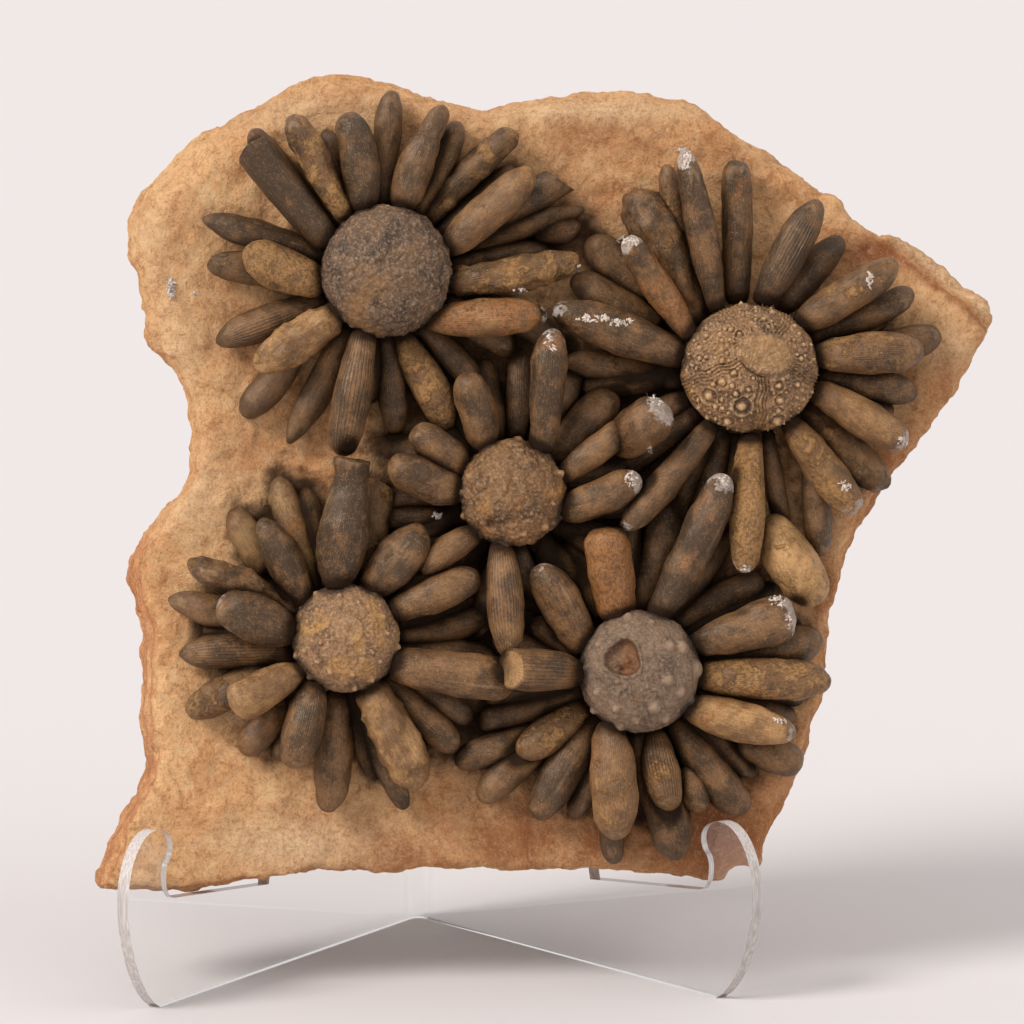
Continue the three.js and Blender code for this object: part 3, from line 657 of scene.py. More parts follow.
colour = blend_colours(tree, sums(tree, "MULTIPLY", grains["Dark"], 0.24), colour, paint(112, 70, 42))
colour = blend_colours(tree, sums(tree, "MULTIPLY", grains["Pale"], 0.2), colour, paint(246, 214, 168))
# Grime and painted shade: ragged dark patches, then a near-black wash, where the rock lies close under the clubs.
grime_and_shade = effect(tree, crust, {
    "Place": slab_place, "Per Metre": 190.0, "Cover": sums(tree, "MULTIPLY", zones[2], 1.35), "Edge": 0.3})
colour = blend_colours(tree, sums(tree, "MULTIPLY", grime_and_shade["Mask"], 0.72), colour, paint(88, 57, 37))
colour = blend_colours(tree, fade(tree, zones[2], 0.35, 0.95, 0.0, 0.9), colour, paint(40, 27, 18))
tree.links.new(colour, shader.inputs["Base Color"])
shader.inputs["Roughness"].default_value = 0.95
shader.inputs["Specular IOR Level"].default_value = 0.2
height = sums(tree, "ADD", sums(tree, "MULTIPLY", grains["Height"], 0.4),
              sums(tree, "ADD", sums(tree, "MULTIPLY", patchy, 1.4), sums(tree, "MULTIPLY", small, 1.0)))
height = sums(tree, "ADD", height, sums(tree, "MULTIPLY", sums(tree, "MULTIPLY", lines, zones[0]), 0.9))
bump = node(tree, "Bump", {"Height": height, "Distance": 1.25 * MM, "Strength": 1.0})
tree.links.new(bump.outputs[0], shader.inputs["Normal"])

coat(slab, sandstone)
lean_back(slab)
alone(slab)
bpy.ops.object.shade_smooth()
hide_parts("sandstone_slab")
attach(slab, "root")

# ---- Club spines ----
# Each spine is one fossil club of calcite: a narrow neck that sat on a knob of the test, a fat shaft
# and a rounded, capped or broken tip. Each form is modelled once, upright, with a length and a radius
# of 1, ring by ring from a filled circle, and is copied, stretched and laid where its solid lies.
CLUB_RINGS = {
    # share of the length and of the radius at each ring
    "plump": [(0, .42), (.05, .58), (.14, .78), (.3, .95), (.5, 1.02), (.68, 1), (.82, .89), (.92, .68),
              (.975, .42), (1, .14)],
    "cigar": [(0, .5), (.06, .64), (.18, .82), (.38, .96), (.6, 1.02), (.77, .98), (.89, .83), (.96, .58),
              (.99, .34), (1, .12)],
    "spindle": [(0, .42), (.06, .56), (.18, .8), (.36, .98), (.56, 1.02), (.73, .93), (.85, .74),
                (.93, .52), (.975, .3), (1, .1)],
    "teardrop": [(0, .34), (.06, .46), (.2, .66), (.4, .84), (.6, .97), (.76, 1.03), (.88, .94), (.95, .72),
                 (.985, .44), (1, .14)],
    "stub": [(0, .6), (.05, .74), (.18, .9), (.5, 1), (.78, 1.02), (.9, .94), (.965, .76), (.995, .44),
             (1, .16)],
    "necked": [(0, .34), (.07, .36), (.09, .5), (.12, .52), (.14, .42), (.2, .52), (.32, .84), (.46, 1.02),
               (.6, 1.02), (.74, .88), (.86, .66), (.94, .46), (.98, .3), (1, .1)],
    "capped": [(0, .5), (.06, .7), (.2, .94), (.4, 1.03), (.55, .95), (.64, .84), (.68, .76), (.69, .66),
               (.71, .63), (.85, .64), (.93, .56), (.98, .36), (1, .1)],
    "snapped": [(0, .46), (.06, .66), (.18, .9), (.36, 1.04), (.54, 1), (.68, .86), (.78, .7), (.86, .66),
                (.95, .74), (.985, .72), (.98, .4), (.97, .12)],
}
PLAIN_SIDES = 20
RIB_COUNT = 36
CLUB_BOW = {"plump": .14, "cigar": .22, "spindle": .12, "teardrop": .06, "stub": .06, "necked": -.1,
            "capped": .2, "snapped": .1}
# A cut club loses its tip: where it is cut, and how the cut face leans on the unit club.
CLUB_CUTS = {"sawn": ("stub", 0.8, 0.05), "slanted": ("plump", 0.76, 0.07)}
CUT_RIMS = (0.95, 0.9)


def model_club(form, ribs=0):
    """A club of a form, standing on the origin, with a length and a radius of 1."""
    whole, cut_at, cut_lean = CLUB_CUTS.get(form, (form, 0, 0))
    rings = CLUB_RINGS[whole]
    sides = 2 * ribs or PLAIN_SIDES
    bpy.ops.object.select_all(action="DESELECT")
    bpy.ops.mesh.primitive_circle_add(vertices=sides, radius=rings[0][1], fill_type="NGON")
    club = bpy.context.object
    club.name = f"{form}_club_model"
    if ribs:
        for vertex in club.data.vertices:
            vertex.select = vertex.index % 2 == 0
        bpy.ops.object.mode_set(mode="EDIT")
        bpy.ops.transform.resize(value=(0.94, 0.94, 1), center_override=(0, 0, 0))
        bpy.ops.mesh.select_all(action="SELECT")
    else:
        bpy.ops.object.mode_set(mode="EDIT")
    bow = CLUB_BOW[whole]
    for (start, radius), (end, next_radius) in zip(rings, rings[1:]):
        aside = 4 * bow * (end * (1 - end) - start * (1 - start))
        middle = 4 * bow * end * (1 - end)
        bpy.ops.mesh.extrude_region_move(TRANSFORM_OT_translate={"value": (aside, 0, end - start)})
        share = next_radius / radius
        bpy.ops.transform.resize(value=(share, share, 1), center_override=(middle, 0, end))
    bpy.ops.object.mode_set(mode="OBJECT")
    rounding = club.modifiers.new("rounding", "SUBSURF")
    rounding.levels = rounding.render_levels = 1 if ribs else 2
    keep_modifiers(club)
    if cut_at:
        bpy.ops.object.mode_set(mode="EDIT")
        bpy.ops.mesh.select_all(action="SELECT")
        bpy.ops.mesh.bisect(plane_co=(0, 0, cut_at), plane_no=(cut_lean, 0, 1), use_fill=True, clear_outer=True)
        bpy.ops.mesh.select_mode(type="FACE")
        bpy.ops.mesh.select_all(action="DESELECT")
        bpy.ops.object.mode_set(mode="OBJECT")
        cut_face = max(club.data.polygons, key=lambda face: len(face.vertices) * (face.center.z > 0.5))
        cut_face.select = True
        middle = Vector(cut_face.center)
        bpy.ops.object.mode_set(mode="EDIT")
        for rim in CUT_RIMS:
            bpy.ops.mesh.extrude_region_move(TRANSFORM_OT_translate={"value": (0, 0, 0)})
            bpy.ops.transform.resize(value=(rim, rim, rim), center_override=middle)
        bpy.ops.mesh.select_mode(type="VERT")
        bpy.ops.mesh.select_all(action="SELECT")
        bpy.ops.transform.resize(value=(1, 1, 1 / cut_at), center_override=(0, 0, 0))
        bpy.ops.object.mode_set(mode="OBJECT")
    return club


club_models = {form: model_club(form) for form in (*CLUB_RINGS, "sawn")}
club_models["ribbed"] = model_club("spindle", RIB_COUNT)
club_models["ribbed_plump"] = model_club("plump", RIB_COUNT)
club_models["ribbed_cigar"] = model_club("cigar", RIB_COUNT)
club_models["slanted"] = model_club("slanted", RIB_COUNT)

CREVICE = 1.1
GAP = 4.5
LINE_PITCH = 0.6 * MM
CREASE = math.radians(50)
swell = unevenness("swell", "CLOUDS", 9 * MM, noise_depth=1)
dents = unevenness("dents", "CLOUDS", 3 * MM, noise_depth=2)
caked = unevenness("caked", "CLOUDS", 4.5 * MM, noise_depth=4)


def crevice_depth(places, lie=None):
    """How deep in the gaps each place lies: 0 in the open, and 1 against a club, a test or the rock. The materials
    darken by it as painted shade.
    """
    nearest, crowding = near_clubs(places, lie)
    nearest = np.minimum(nearest, -places[:, 1] / MM)
    if lie:
        for urchin in URCHINS:
            from_test = places - np.array(centres[urchin])
            beside = beside_test(urchin)
            nearest = np.minimum(nearest, np.linalg.norm(from_test[:, (0, 2)], axis=1) / MM - beside)
    gap = np.clip(nearest, 0, None)
    return 0.62 * np.exp(-gap / CREVICE) + 0.38 * np.exp(-gap / GAP)


def lay_club(name, lie):
    """A club from its base to its tip, in the upright slab's frame, with what its material reads.

    Roll turns it about its own length. Look is its tone, then how much ochre crust, rust stain and
    white chalk it has, each from 0 to 1. Caked clubs have a lumpy crust all over.
    """
    base, tip, width, form, roll, look = lie
    lumpy = form.startswith("caked_")
    model = club_models[form.removeprefix("caked_")]
    club = bpy.data.objects.new(name, model.data.copy())
    bpy.context.scene.collection.objects.link(club)
    length = (tip - base).length
    club.data.transform(Matrix.Diagonal((width / 2, width / 2, length, 1)))
    shaft = corners_of(club)
    record_on(club, "shaft", shaft, "FLOAT_VECTOR")
    record_on(club, "share", shaft[:, 2] / length)
    record_on(club, "look", np.tile(look, (len(shaft), 1)), "FLOAT_COLOR")
    ribbed = form.startswith("ribbed") or form == "slanted"
    line_count = RIB_COUNT if ribbed else round(math.pi * width / LINE_PITCH)
    on_cut = np.zeros(len(shaft))
    if form in CLUB_CUTS:
        at_cut = max(club.data.polygons, key=lambda face: len(face.vertices) * (face.center.z > length / 2))
        on_cut[list(at_cut.vertices)] = 1
    record_on(club, "lining", np.stack([
        np.full(len(shaft), line_count), np.full(len(shaft), 1.0 if ribbed else 0.34), on_cut],
        axis=1), "FLOAT_VECTOR")
    along = (tip - base).normalized()
    facing = on_slab(0, 0, 1)
    facing = (facing - along * facing.dot(along)).normalized()
    facing = Matrix.Rotation(math.radians(roll), 3, along) @ facing
    turned = Matrix((facing, along.cross(facing), along)).transposed().to_4x4()
    club.matrix_world = Matrix.Translation(base) @ turned
    alone(club)
    bpy.ops.object.transform_apply(location=True, rotation=True, scale=True)
    wear(club, swell, 0.13 * width)
    wear(club, dents, 0.045 * width)
    if lumpy:
        wear(club, caked, 0.2 * width)
    keep_modifiers(club)
    record_on(club, "crevice", crevice_depth(corners_of(club), lie))
    return club


# Calcite: dark grey-brown to tan, finely lined along the shaft, with ochre crust, rust and chalk, with painted shade
# near the rock and in the gaps, and dirt and painted shade at the neck.
calcite, tree, shader = finish_material("fossil_spine_calcite")
at = node(tree, "TexCoord").outputs["Object"]
shaft = node(tree, "Attribute", attribute_name="shaft").outputs["Vector"]
share = node(tree, "Attribute", attribute_name="share").outputs["Fac"]
look = node(tree, "Attribute", attribute_name="look")
amounts = node(tree, "SeparateColor", {"Color": look.outputs["Color"]}).outputs
tone, ochre_cover, rust_cover, chalk_cover = amounts[0], amounts[1], amounts[2], look.outputs["Alpha"]
lining = node(tree, "SeparateXYZ", {
    "Vector": node(tree, "Attribute", attribute_name="lining").outputs["Vector"]}).outputs
lengthwise = node(tree, "Mapping", {"Vector": shaft, "Scale": (2600, 2600, 190)}).outputs[0]
streaks = mottle(tree, lengthwise, 1.0, 3, 0.6)
keels = mottle(tree, node(tree, "Mapping", {"Vector": shaft, "Scale": (420, 420, 9)}).outputs[0], 1.0, 1, 0.5)
cloudy = mottle(tree, at, 130, 7, 0.66)
mealy = mottle(tree, at, 900, 5, 0.75)
tone = sums(tree, "ADD", tone, fade(tree, cloudy, 0.34, 0.66, -0.27, 0.15))
tone = sums(tree, "ADD", tone, fade(tree, streaks, 0.3, 0.7, -0.1, 0.1))
tone = sums(tree, "ADD", tone, fade(tree, share, 0.86, 1.0, 0.0, 0.12))
colour = blend_colours(tree, fade(tree, tone, 0.0, 0.5), paint(61, 42, 24), paint(123, 87, 53))
colour = blend_colours(tree, fade(tree, tone, 0.45, 1.0), colour, paint(184, 141, 90))
round_angle = sums(tree, "ARCTAN2", node(tree, "SeparateXYZ", {"Vector": shaft}).outputs[1],
                   node(tree, "SeparateXYZ", {"Vector": shaft}).outputs[0])
wobble = sums(tree, "MULTIPLY", mottle(tree, shaft, 130, 2, 0.5), 2.2)
wave = sums(tree, "COSINE", sums(tree, "ADD", sums(tree, "MULTIPLY", round_angle, lining[0]), wobble))
groove = sums(tree, "MULTIPLY", fade(tree, wave, 0.0, 0.95), lining[1])
groove = sums(tree, "MULTIPLY", groove, fade(tree, cloudy, 0.62, 0.4, 0.35, 1.0))
rusty = effect(tree, crust, {"Place": at, "Per Metre": 90.0, "Cover": sums(tree, "MULTIPLY", rust_cover, 0.85), "Edge": 0.14})["Mask"]
colour = blend_colours(tree, sums(tree, "MULTIPLY", rusty, 0.72), colour, blend_colours(
    tree, fade(tree, mealy, 0.42, 0.6), paint(112, 70, 38), paint(178, 116, 60)))
ochre = effect(tree, crust, {"Place": at, "Per Metre": 150.0, "Cover": sums(tree, "MULTIPLY", ochre_cover, 0.86), "Edge": 0.1})["Mask"]
colour = blend_colours(tree, sums(tree, "MULTIPLY", ochre, 0.76), colour, blend_colours(
    tree, fade(tree, mealy, 0.4, 0.6), paint(122, 86, 48), paint(198, 148, 88)))
colour = blend_colours(tree, sums(tree, "MULTIPLY", groove, 0.5), colour, paint(56, 42, 32))
pale_keel = sums(tree, "MULTIPLY", fade(tree, keels, 0.69, 0.74), fade(tree, share, 0.4, 0.8, 0.05, 0.25))
colour = blend_colours(tree, pale_keel, colour, paint(182, 148, 110))
grains = effect(tree, grit, {"Place": at, "Per Metre": 2700.0})
colour = blend_colours(tree, sums(tree, "MULTIPLY", grains["Dark"], 0.3), colour, paint(42, 30, 22))
colour = blend_colours(tree, sums(tree, "MULTIPLY", grains["Pale"], 0.2), colour, paint(190, 158, 120))
specks = fade(tree, mottle(tree, at, 1900, 1, 0.4), 0.73, 0.79, 0.0, 0.5)
colour = blend_colours(tree, specks, colour, paint(206, 182, 152))
colour = blend_colours(tree, fade(tree, mealy, 0.5, 0.72, 0.0, 0.38), colour, paint(54, 40, 29))
colour = blend_colours(tree, sums(tree, "MULTIPLY", lining[2], 0.85), colour, blend_colours(
    tree, fade(tree, mealy, 0.35, 0.65), paint(190, 152, 106), paint(158, 116, 72)))
# Painted shade: each club is darkened where it lies within a few millimetres of the rock.
above_rock = sums(tree, "MULTIPLY", node(tree, "SeparateXYZ", {"Vector": slab_frame(tree)}).outputs[1], -1.0)
colour = blend_colours(tree, fade(tree, above_rock, 13 * MM, 2 * MM, 0.0, 0.6), colour, paint(44, 31, 22))
# Painted shade: clubs are darkened to near black in the gaps against other clubs, the tests and the rock.
crevice = node(tree, "Attribute", attribute_name="crevice").outputs["Fac"]
colour = blend_colours(tree, fade(tree, crevice, 0.1, 0.95, 0.0, 0.92), colour, paint(30, 21, 15))
# Dirt and painted shade: the neck of each club, where it runs in under the test, is darkened.
neck = fade(tree, share, 0.2, 0.0)
colour = blend_colours(tree, sums(tree, "MULTIPLY", neck, 0.62), colour, paint(50, 36, 27))
chalk_bar = sums(tree, "ADD", mottle(tree, at, 330, 6, 0.68), sums(
    tree, "ADD", sums(tree, "MULTIPLY", chalk_cover, 0.62), fade(tree, share, 0.7, 1.0, -0.72, 0.0)))
chalky = sums(tree, "MULTIPLY", fade(tree, chalk_bar, 0.5, 0.58), fade(tree, chalk_cover, 0.0, 0.04))
colour = blend_colours(tree, sums(tree, "MULTIPLY", chalky, 0.78), colour, blend_colours(
    tree, fade(tree, mealy, 0.35, 0.65), paint(204, 192, 184), paint(160, 142, 128)))
tree.links.new(colour, shader.inputs["Base Color"])
tree.links.new(fade(tree, cloudy, 0.3, 0.7, 0.3, 0.48), shader.inputs["Roughness"])
sheltered = sums(tree, "MAXIMUM", fade(tree, crevice, 0.1, 0.6), sums(tree, "MAXIMUM", neck, chalky))
tree.links.new(sums(tree, "SUBTRACT", 0.58, sums(tree, "MULTIPLY", sheltered, 0.5)), shader.inputs["Specular IOR Level"])
shader.inputs["Specular Tint"].default_value = (1, 0.86, 0.72, 1)
height = sums(tree, "ADD", sums(tree, "MULTIPLY", streaks, 0.35), sums(tree, "MULTIPLY", grains["Height"], 0.22))
rough_crust = sums(tree, "MULTIPLY", mealy, sums(tree, "ADD", sums(tree, "MULTIPLY", ochre, 1.4), 0.28))
height = sums(tree, "ADD", height, rough_crust)
height = sums(tree, "ADD", height, sums(tree, "MULTIPLY", groove, -0.55))
height = sums(tree, "ADD", height, sums(tree, "MULTIPLY", sums(tree, "ADD", ochre, chalky), 0.4))
bump = node(tree, "Bump", {"Height": height, "Distance": 0.5 * MM, "Strength": 0.9})
tree.links.new(bump.outputs[0], shader.inputs["Normal"])

for solid, lies in clubs_of.items():
    pieces = [lay_club(f"{solid}_club", lie) for lie in lies]
    bpy.ops.object.select_all(action="DESELECT")
    for club in pieces:
        club.select_set(True)
    bpy.context.view_layer.objects.active = pieces[0]
    if len(pieces) > 1:
        bpy.ops.object.join()
    laid = bpy.context.object
    laid.name = f"{solid}_club" if len(pieces) == 1 else f"{solid}_clubs"
    coat(laid, calcite)
    lean_back(laid)
    alone(laid)
    bpy.ops.object.shade_smooth_by_angle(angle=CREASE)
    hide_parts(solid)
    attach(laid, "root")
for model in club_models.values():
    bpy.data.objects.remove(model)

# ---- Tests ----
# The round shells of the urchins, domed towards the viewer. Each starts as a ball, squashed below its
# widest line and cut off where it sits in the rock, and then gets its own knobs, ribs, pits and lumps.
TEST_WAIST = 16 * MM
TEST_CUT = -0.4
FACE_UP = Matrix.Rotation(math.radians(90), 4, "X")


def model_test(urchin, around_count, down_count):
    """A smooth dome of the size of its solid, and the places of its vertices: right, up, height."""
    solid = [LEANED.inverted() @ v.co - centres[urchin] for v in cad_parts[f"{urchin}_test"].data.vertices]
    half_wide = max(corner.x for corner in solid)
    half_tall = max(corner.z for corner in solid)
    top = max(-corner.y for corner in solid)
    foot = min(-corner.y for corner in solid)
    bpy.ops.object.select_all(action="DESELECT")
    bpy.ops.mesh.primitive_uv_sphere_add(segments=around_count, ring_count=down_count, radius=1)
    test = bpy.context.object
    test.name = f"{urchin}_test_shell"
    bpy.ops.object.mode_set(mode="EDIT")
    bpy.ops.mesh.select_all(action="SELECT")
    bpy.ops.mesh.bisect(plane_co=(0, 0, TEST_CUT), plane_no=(0, 0, 1), clear_inner=True, use_fill=True)
    bpy.ops.object.mode_set(mode="OBJECT")
    for vertex in test.data.vertices:
        vertex.select = vertex.co.z < -1e-4
    bpy.ops.object.mode_set(mode="EDIT")
    bpy.ops.mesh.select_mode(type="VERT")
    bpy.ops.transform.resize(
        value=(1, 1, (TEST_WAIST - foot) / (top - TEST_WAIST) / -TEST_CUT), center_override=(0, 0, 0))
    bpy.ops.mesh.select_all(action="SELECT")
    bpy.ops.transform.resize(value=(half_wide, half_tall, top - TEST_WAIST), center_override=(0, 0, 0))
    bpy.ops.object.mode_set(mode="OBJECT")
    return test, corners_of(test) / MM, (half_wide / MM, half_tall / MM, (top - TEST_WAIST) / MM)


def mould(test, name, heights):
    """Raises and sinks the surface by heights in millimetres."""
    for label, side in (("raised", 1), ("sunk", -1)):
        part = np.clip(heights * side, 0, None)
        if part.max() > 0.01:
            weigh(test, f"{name} {label}", part / part.max())
            push = test.modifiers.new(f"{name} {label}", "DISPLACE")
            push.strength = side * part.max() * MM
            push.mid_level = 0
            push.vertex_group = f"{name} {label}"


def from_spot(places, dome, across, up):
    """The distance of each place from a spot on the dome, in millimetres."""
    share = min(math.hypot(across / dome[0], up / dome[1]), 0.999)
    height = dome[2] * math.sqrt(1 - share * share)
    return np.linalg.norm(places - np.array([across, up, height]), axis=1)


def knob(distance, size):
    """A round knob: 1 in the middle and 0 past its size."""
    return np.cos(np.clip(distance / size, 0, 1) * math.pi / 2) ** 2


def ring_tubercle(distance, size):
    """A sunk ring with a boss inside it, a small ball on the boss and a low rim round the ring."""
    share = distance / size
    rim = 0.24 * np.exp(-((share - 1.08) / 0.16) ** 2)
    groove = -0.34 * np.exp(-((share - 0.74) / 0.17) ** 2)
    boss = 0.6 * np.exp(-(share / 0.46) ** 2) + 0.5 * np.exp(-(share / 0.22) ** 2)
    return (rim + groove + boss) * (0.55 + 0.34 * size)


def shell_material(name, dark, plain, pale, crust_colour, crust_cover, crust_size, stain_colour, matt=0.6):
    """Porous shell in three tones, with ochre crust, a painted highlight on its knobs, and painted shade in its pits
    and in the gaps by the clubs and the rock.
    """
    material, tree, shader = finish_material(name)
    at = node(tree, "TexCoord").outputs["Object"]
    relief = node(tree, "Attribute", attribute_name="relief").outputs["Fac"]
    stained = node(tree, "Attribute", attribute_name="stained").outputs["Fac"]
    cloudy = mottle(tree, at, 95, 8, 0.72, 0.4)
    small = mottle(tree, at, 1000, 5, 0.75)
    colour = blend_colours(tree, fade(tree, cloudy, 0.38, 0.56), dark, plain)
    colour = blend_colours(tree, sums(tree, "MULTIPLY", fade(tree, small, 0.48, 0.68), 0.75), colour, pale)
    crusted = effect(tree, crust, {
        "Place": at, "Per Metre": crust_size, "Cover": crust_cover, "Edge": 0.14})["Mask"]
    colour = blend_colours(tree, sums(tree, "MULTIPLY", crusted, 0.8), colour, crust_colour)
    colour = blend_colours(tree, sums(tree, "MULTIPLY", stained, 0.85), colour, stain_colour)
    grains = effect(tree, grit, {"Place": at, "Per Metre": 1700.0})
    colour = blend_colours(tree, sums(tree, "MULTIPLY", grains["Dark"], 0.36), colour, paint(52, 38, 28))
    colour = blend_colours(tree, sums(tree, "MULTIPLY", grains["Pale"], 0.35), colour, pale)
    # Painted highlight and painted shade: the shell is paler where its relief stands up and darker where it sinks.
    colour = blend_colours(tree, fade(tree, relief, 0.1, 0.6, 0.0, 0.7), colour, pale)
    colour = blend_colours(tree, fade(tree, relief, -0.08, -0.55, 0.0, 0.6), colour, paint(58, 41, 29))
    # Painted shade: the shell is darkened to near black in the gaps against the clubs and the rock.
    crevice = node(tree, "Attribute", attribute_name="crevice").outputs["Fac"]
    colour = blend_colours(tree, fade(tree, crevice, 0.1, 0.95, 0.0, 0.85), colour, paint(32, 23, 17))
    tree.links.new(colour, shader.inputs["Base Color"])
    tree.links.new(fade(tree, cloudy, 0.3, 0.7, matt - 0.12, matt + 0.12), shader.inputs["Roughness"])
    shader.inputs["Specular IOR Level"].default_value = 0.5
    shader.inputs["Specular Tint"].default_value = (1, 0.86, 0.72, 1)
    height = sums(tree, "ADD", sums(tree, "MULTIPLY", grains["Height"], 0.6), sums(tree, "MULTIPLY", small, 0.8))
    bump = node(tree, "Bump", {"Height": height, "Distance": 0.5 * MM, "Strength": 0.9})
    tree.links.new(bump.outputs[0], shader.inputs["Normal"])
    return material


granules = unevenness("granules", "VORONOI", 1.2 * MM)
lumps = unevenness("lumps", "CLOUDS", 5 * MM, noise_depth=2)
sandpaper = unevenness("sandpaper", "CLOUDS", 1.3 * MM, noise_depth=2)


def finish_test(urchin, test, material, relief, stained):
    """Settles the wear, material and place of a test."""
    keep_modifiers(test)
    record_on(test, "relief", relief)
    record_on(test, "stained", stained)
    test.vertex_groups.clear()
    test.matrix_world = Matrix.Translation(centres[urchin] + on_slab(0, 0, TEST_WAIST)) @ FACE_UP
    alone(test)
    bpy.ops.object.transform_apply(location=True, rotation=True, scale=True)
    record_on(test, "crevice", crevice_depth(corners_of(test)))
    coat(test, material)
    lean_back(test)
    alone(test)
    bpy.ops.object.shade_smooth()
    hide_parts(f"{urchin}_test")
    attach(test, "root")


# The upper left test is worn smooth, with a sandpaper surface and a few small knobs at its rim.
RIM_KNOBS = [(0.4, 18.8, 1.0), (8, 13.4, 0.9), (18, 5.8, 1.1), (16.2, -3.6, 0.9), (14.6, 13.6, 0.9),
             (-16.8, 9.5, 0.8), (-10.6, -16.2, 1.0), (17.6, -8.2, 0.9), (4.5, -18.6, 0.9)]
test, places, dome = model_test("upper_left", 220, 140)
relief = sum(0.5 * size * knob(from_spot(places, dome, x, y), 1.2 * size) for x, y, size in RIM_KNOBS)
mould(test, "rim knobs", relief)
wear(test, lumps, 1.8 * MM)
wear(test, unevenness("ridges", "CLOUDS", 2.6 * MM, noise_type="HARD_NOISE", noise_depth=1), 0.8 * MM)
wear(test, sandpaper, 0.5 * MM)
finish_test(
    "upper_left", test, shell_material(
        "worn_shell", paint(50, 39, 31), paint(100, 77, 57), paint(168, 137, 112), paint(134, 97, 58), 0.4, 60.0,
        paint(90, 70, 52), 0.48), relief, np.zeros(len(places)))

# The upper right test keeps its ornament: five bands of fine wavy ribs run from the raised oval of
# its top to its rim, with ringed tubercles between them that grow outwards.
OVAL_MIDDLE, OVAL_HALF, OVAL_TILT = (4.0, 3.7), (8.4, 6.6), math.radians(-16)
RIB_ENDS = [(-17.9, -3.6), (1.6, -17.9), (20.2, -4.9), (10.7, 14.6), (-7.1, 16.8)]
RIB_PITCH = 1.05
RING_TRIES = 400
GRAIN_COUNT = 170
RINGED = [
    # right, up and ring radius, in millimetres
    (-9.3, -4.3, 2.1), (-5.9, -1.7, 1.6), (-13, -8.4, 2.6), (-3.3, -11.5, 2.8), (-1.5, -6.7, 1.4),
    (-.2, -3.3, 1), (7.6, -5.6, 1.8), (8.1, -9.8, 2), (13.3, -5.3, 1.7), (7.2, -15.7, 2.8),
    (15.3, -9.5, 1.8), (-11.2, 6, 1.5), (-7.6, 6.4, 1.4), (-8, 11.5, 1.3), (-11.9, 13.1, 1.3),
    (-15.6, 2.9, 1.4), (-.2, 13.4, 1.2), (5.9, 13.6, 1), (12.5, 7.9, 1.1), (14.2, 9.8, 1.1),
    (13.2, 3.7, 1), (15.6, 3.3, 1.1), (18.5, 2.3, 1.2), (-7.2, -15.7, 2.2), (-16.6, 8.2, 1.2),
    (1.5, 16.6, 1.2), (17.6, 6.6, 1.1), (-3.4, 16.4, 1.1), (11.8, -12.6, 1.2), (-17.5, -6.8, 1.4),
]
test, places, dome = model_test("upper_right", 320, 200)
relief = sum(ring_tubercle(from_spot(places, dome, x, y), size) for x, y, size in RINGED)
near_ring = sum(knob(from_spot(places, dome, x, y), 1.5 * size) for x, y, size in RINGED)
from_oval = places[:, :2] - np.array(OVAL_MIDDLE)
turn = np.array([[math.cos(OVAL_TILT), -math.sin(OVAL_TILT)], [math.sin(OVAL_TILT), math.cos(OVAL_TILT)]])
oval = np.linalg.norm(from_oval @ turn / np.array(OVAL_HALF), axis=1)
oval_angle = np.degrees(np.arctan2(from_oval[:, 1], from_oval[:, 0])) % 360
ribs = np.zeros(len(places))
for end in RIB_ENDS:
    way = np.array(end) - np.array(OVAL_MIDDLE)
    reach = np.linalg.norm(way)
    out = from_oval @ way / reach
    aside = from_oval @ np.array([-way[1], way[0]]) / reach + 0.35 * np.sin(out * 0.9 + end[0])
    half_width = 1.2 + 1.1 * np.clip(out / reach, 0, 1.2)
    band = 1 - ease(half_width, half_width + 0.5, np.abs(aside))
    band = band * ease(0, 2, out) * (places[:, 2] > -2)
    ribs += band * (0.3 * np.cos(aside * 2 * math.pi / RIB_PITCH) - 0.06)
ribs *= ease(1.0, 1.12, oval) * (1 - ease(0.2, 0.7, near_ring))
crack = np.exp(-((oval - 1.02) / 0.045) ** 2) * ease(190, 205, oval_angle) * ease(275, 250, oval_angle)
seam = np.exp(-((places[:, 0] + 5.2) / 0.3) ** 2) * ease(1.6, 3, places[:, 1]) * ease(11, 8, places[:, 1])
random.seed(3)
for small_ring in range(RING_TRIES):
    angle, reach, size = random.uniform(0, 2 * math.pi), random.uniform(8, 19.5), random.uniform(0.9, 1.6)
    away = from_spot(places, dome, reach * math.cos(angle), reach * math.sin(angle))
    spot_at = away.argmin()
    if near_ring[spot_at] < 0.02 and oval[spot_at] > 1.2 and abs(ribs[spot_at]) < 0.02:
        relief += ring_tubercle(away, size)
        near_ring += knob(away, 1.8 * size)
for grain in range(GRAIN_COUNT):
    angle, reach = random.uniform(0, 2 * math.pi), dome[1] * math.sqrt(random.uniform(0.04, 0.95))
    grain_size = random.uniform(0.45, 0.8)
    grain_knob = knob(from_spot(places, dome, reach * math.cos(angle), reach * math.sin(angle)), grain_size)
    relief += 0.6 * grain_size * grain_knob * (1 - ease(0.05, 0.4, near_ring)) * (1 - ease(0.02, 0.1, np.abs(ribs)))
relief = relief * ease(0.95, 1.1, oval) + ribs + 0.7 * (1 - ease(0.82, 1.04, oval))
relief -= 0.9 * crack + 0.35 * seam
relief = relief * (places[:, 2] > -5)
mould(test, "ornament", relief)
wear(test, granules, -0.45 * MM)
wear(test, lumps, 1.5 * MM)
finish_test(
    "upper_right", test, shell_material(
        "ornate_shell", paint(84, 60, 40), paint(134, 99, 67), paint(204, 166, 124), paint(168, 120, 60),
        0.36, 90.0, paint(160, 120, 74), 0.46),
    relief - 0.5 * (1 - ease(0.82, 1.04, oval)), 0.55 * (1 - ease(0.6, 1.1, oval)))

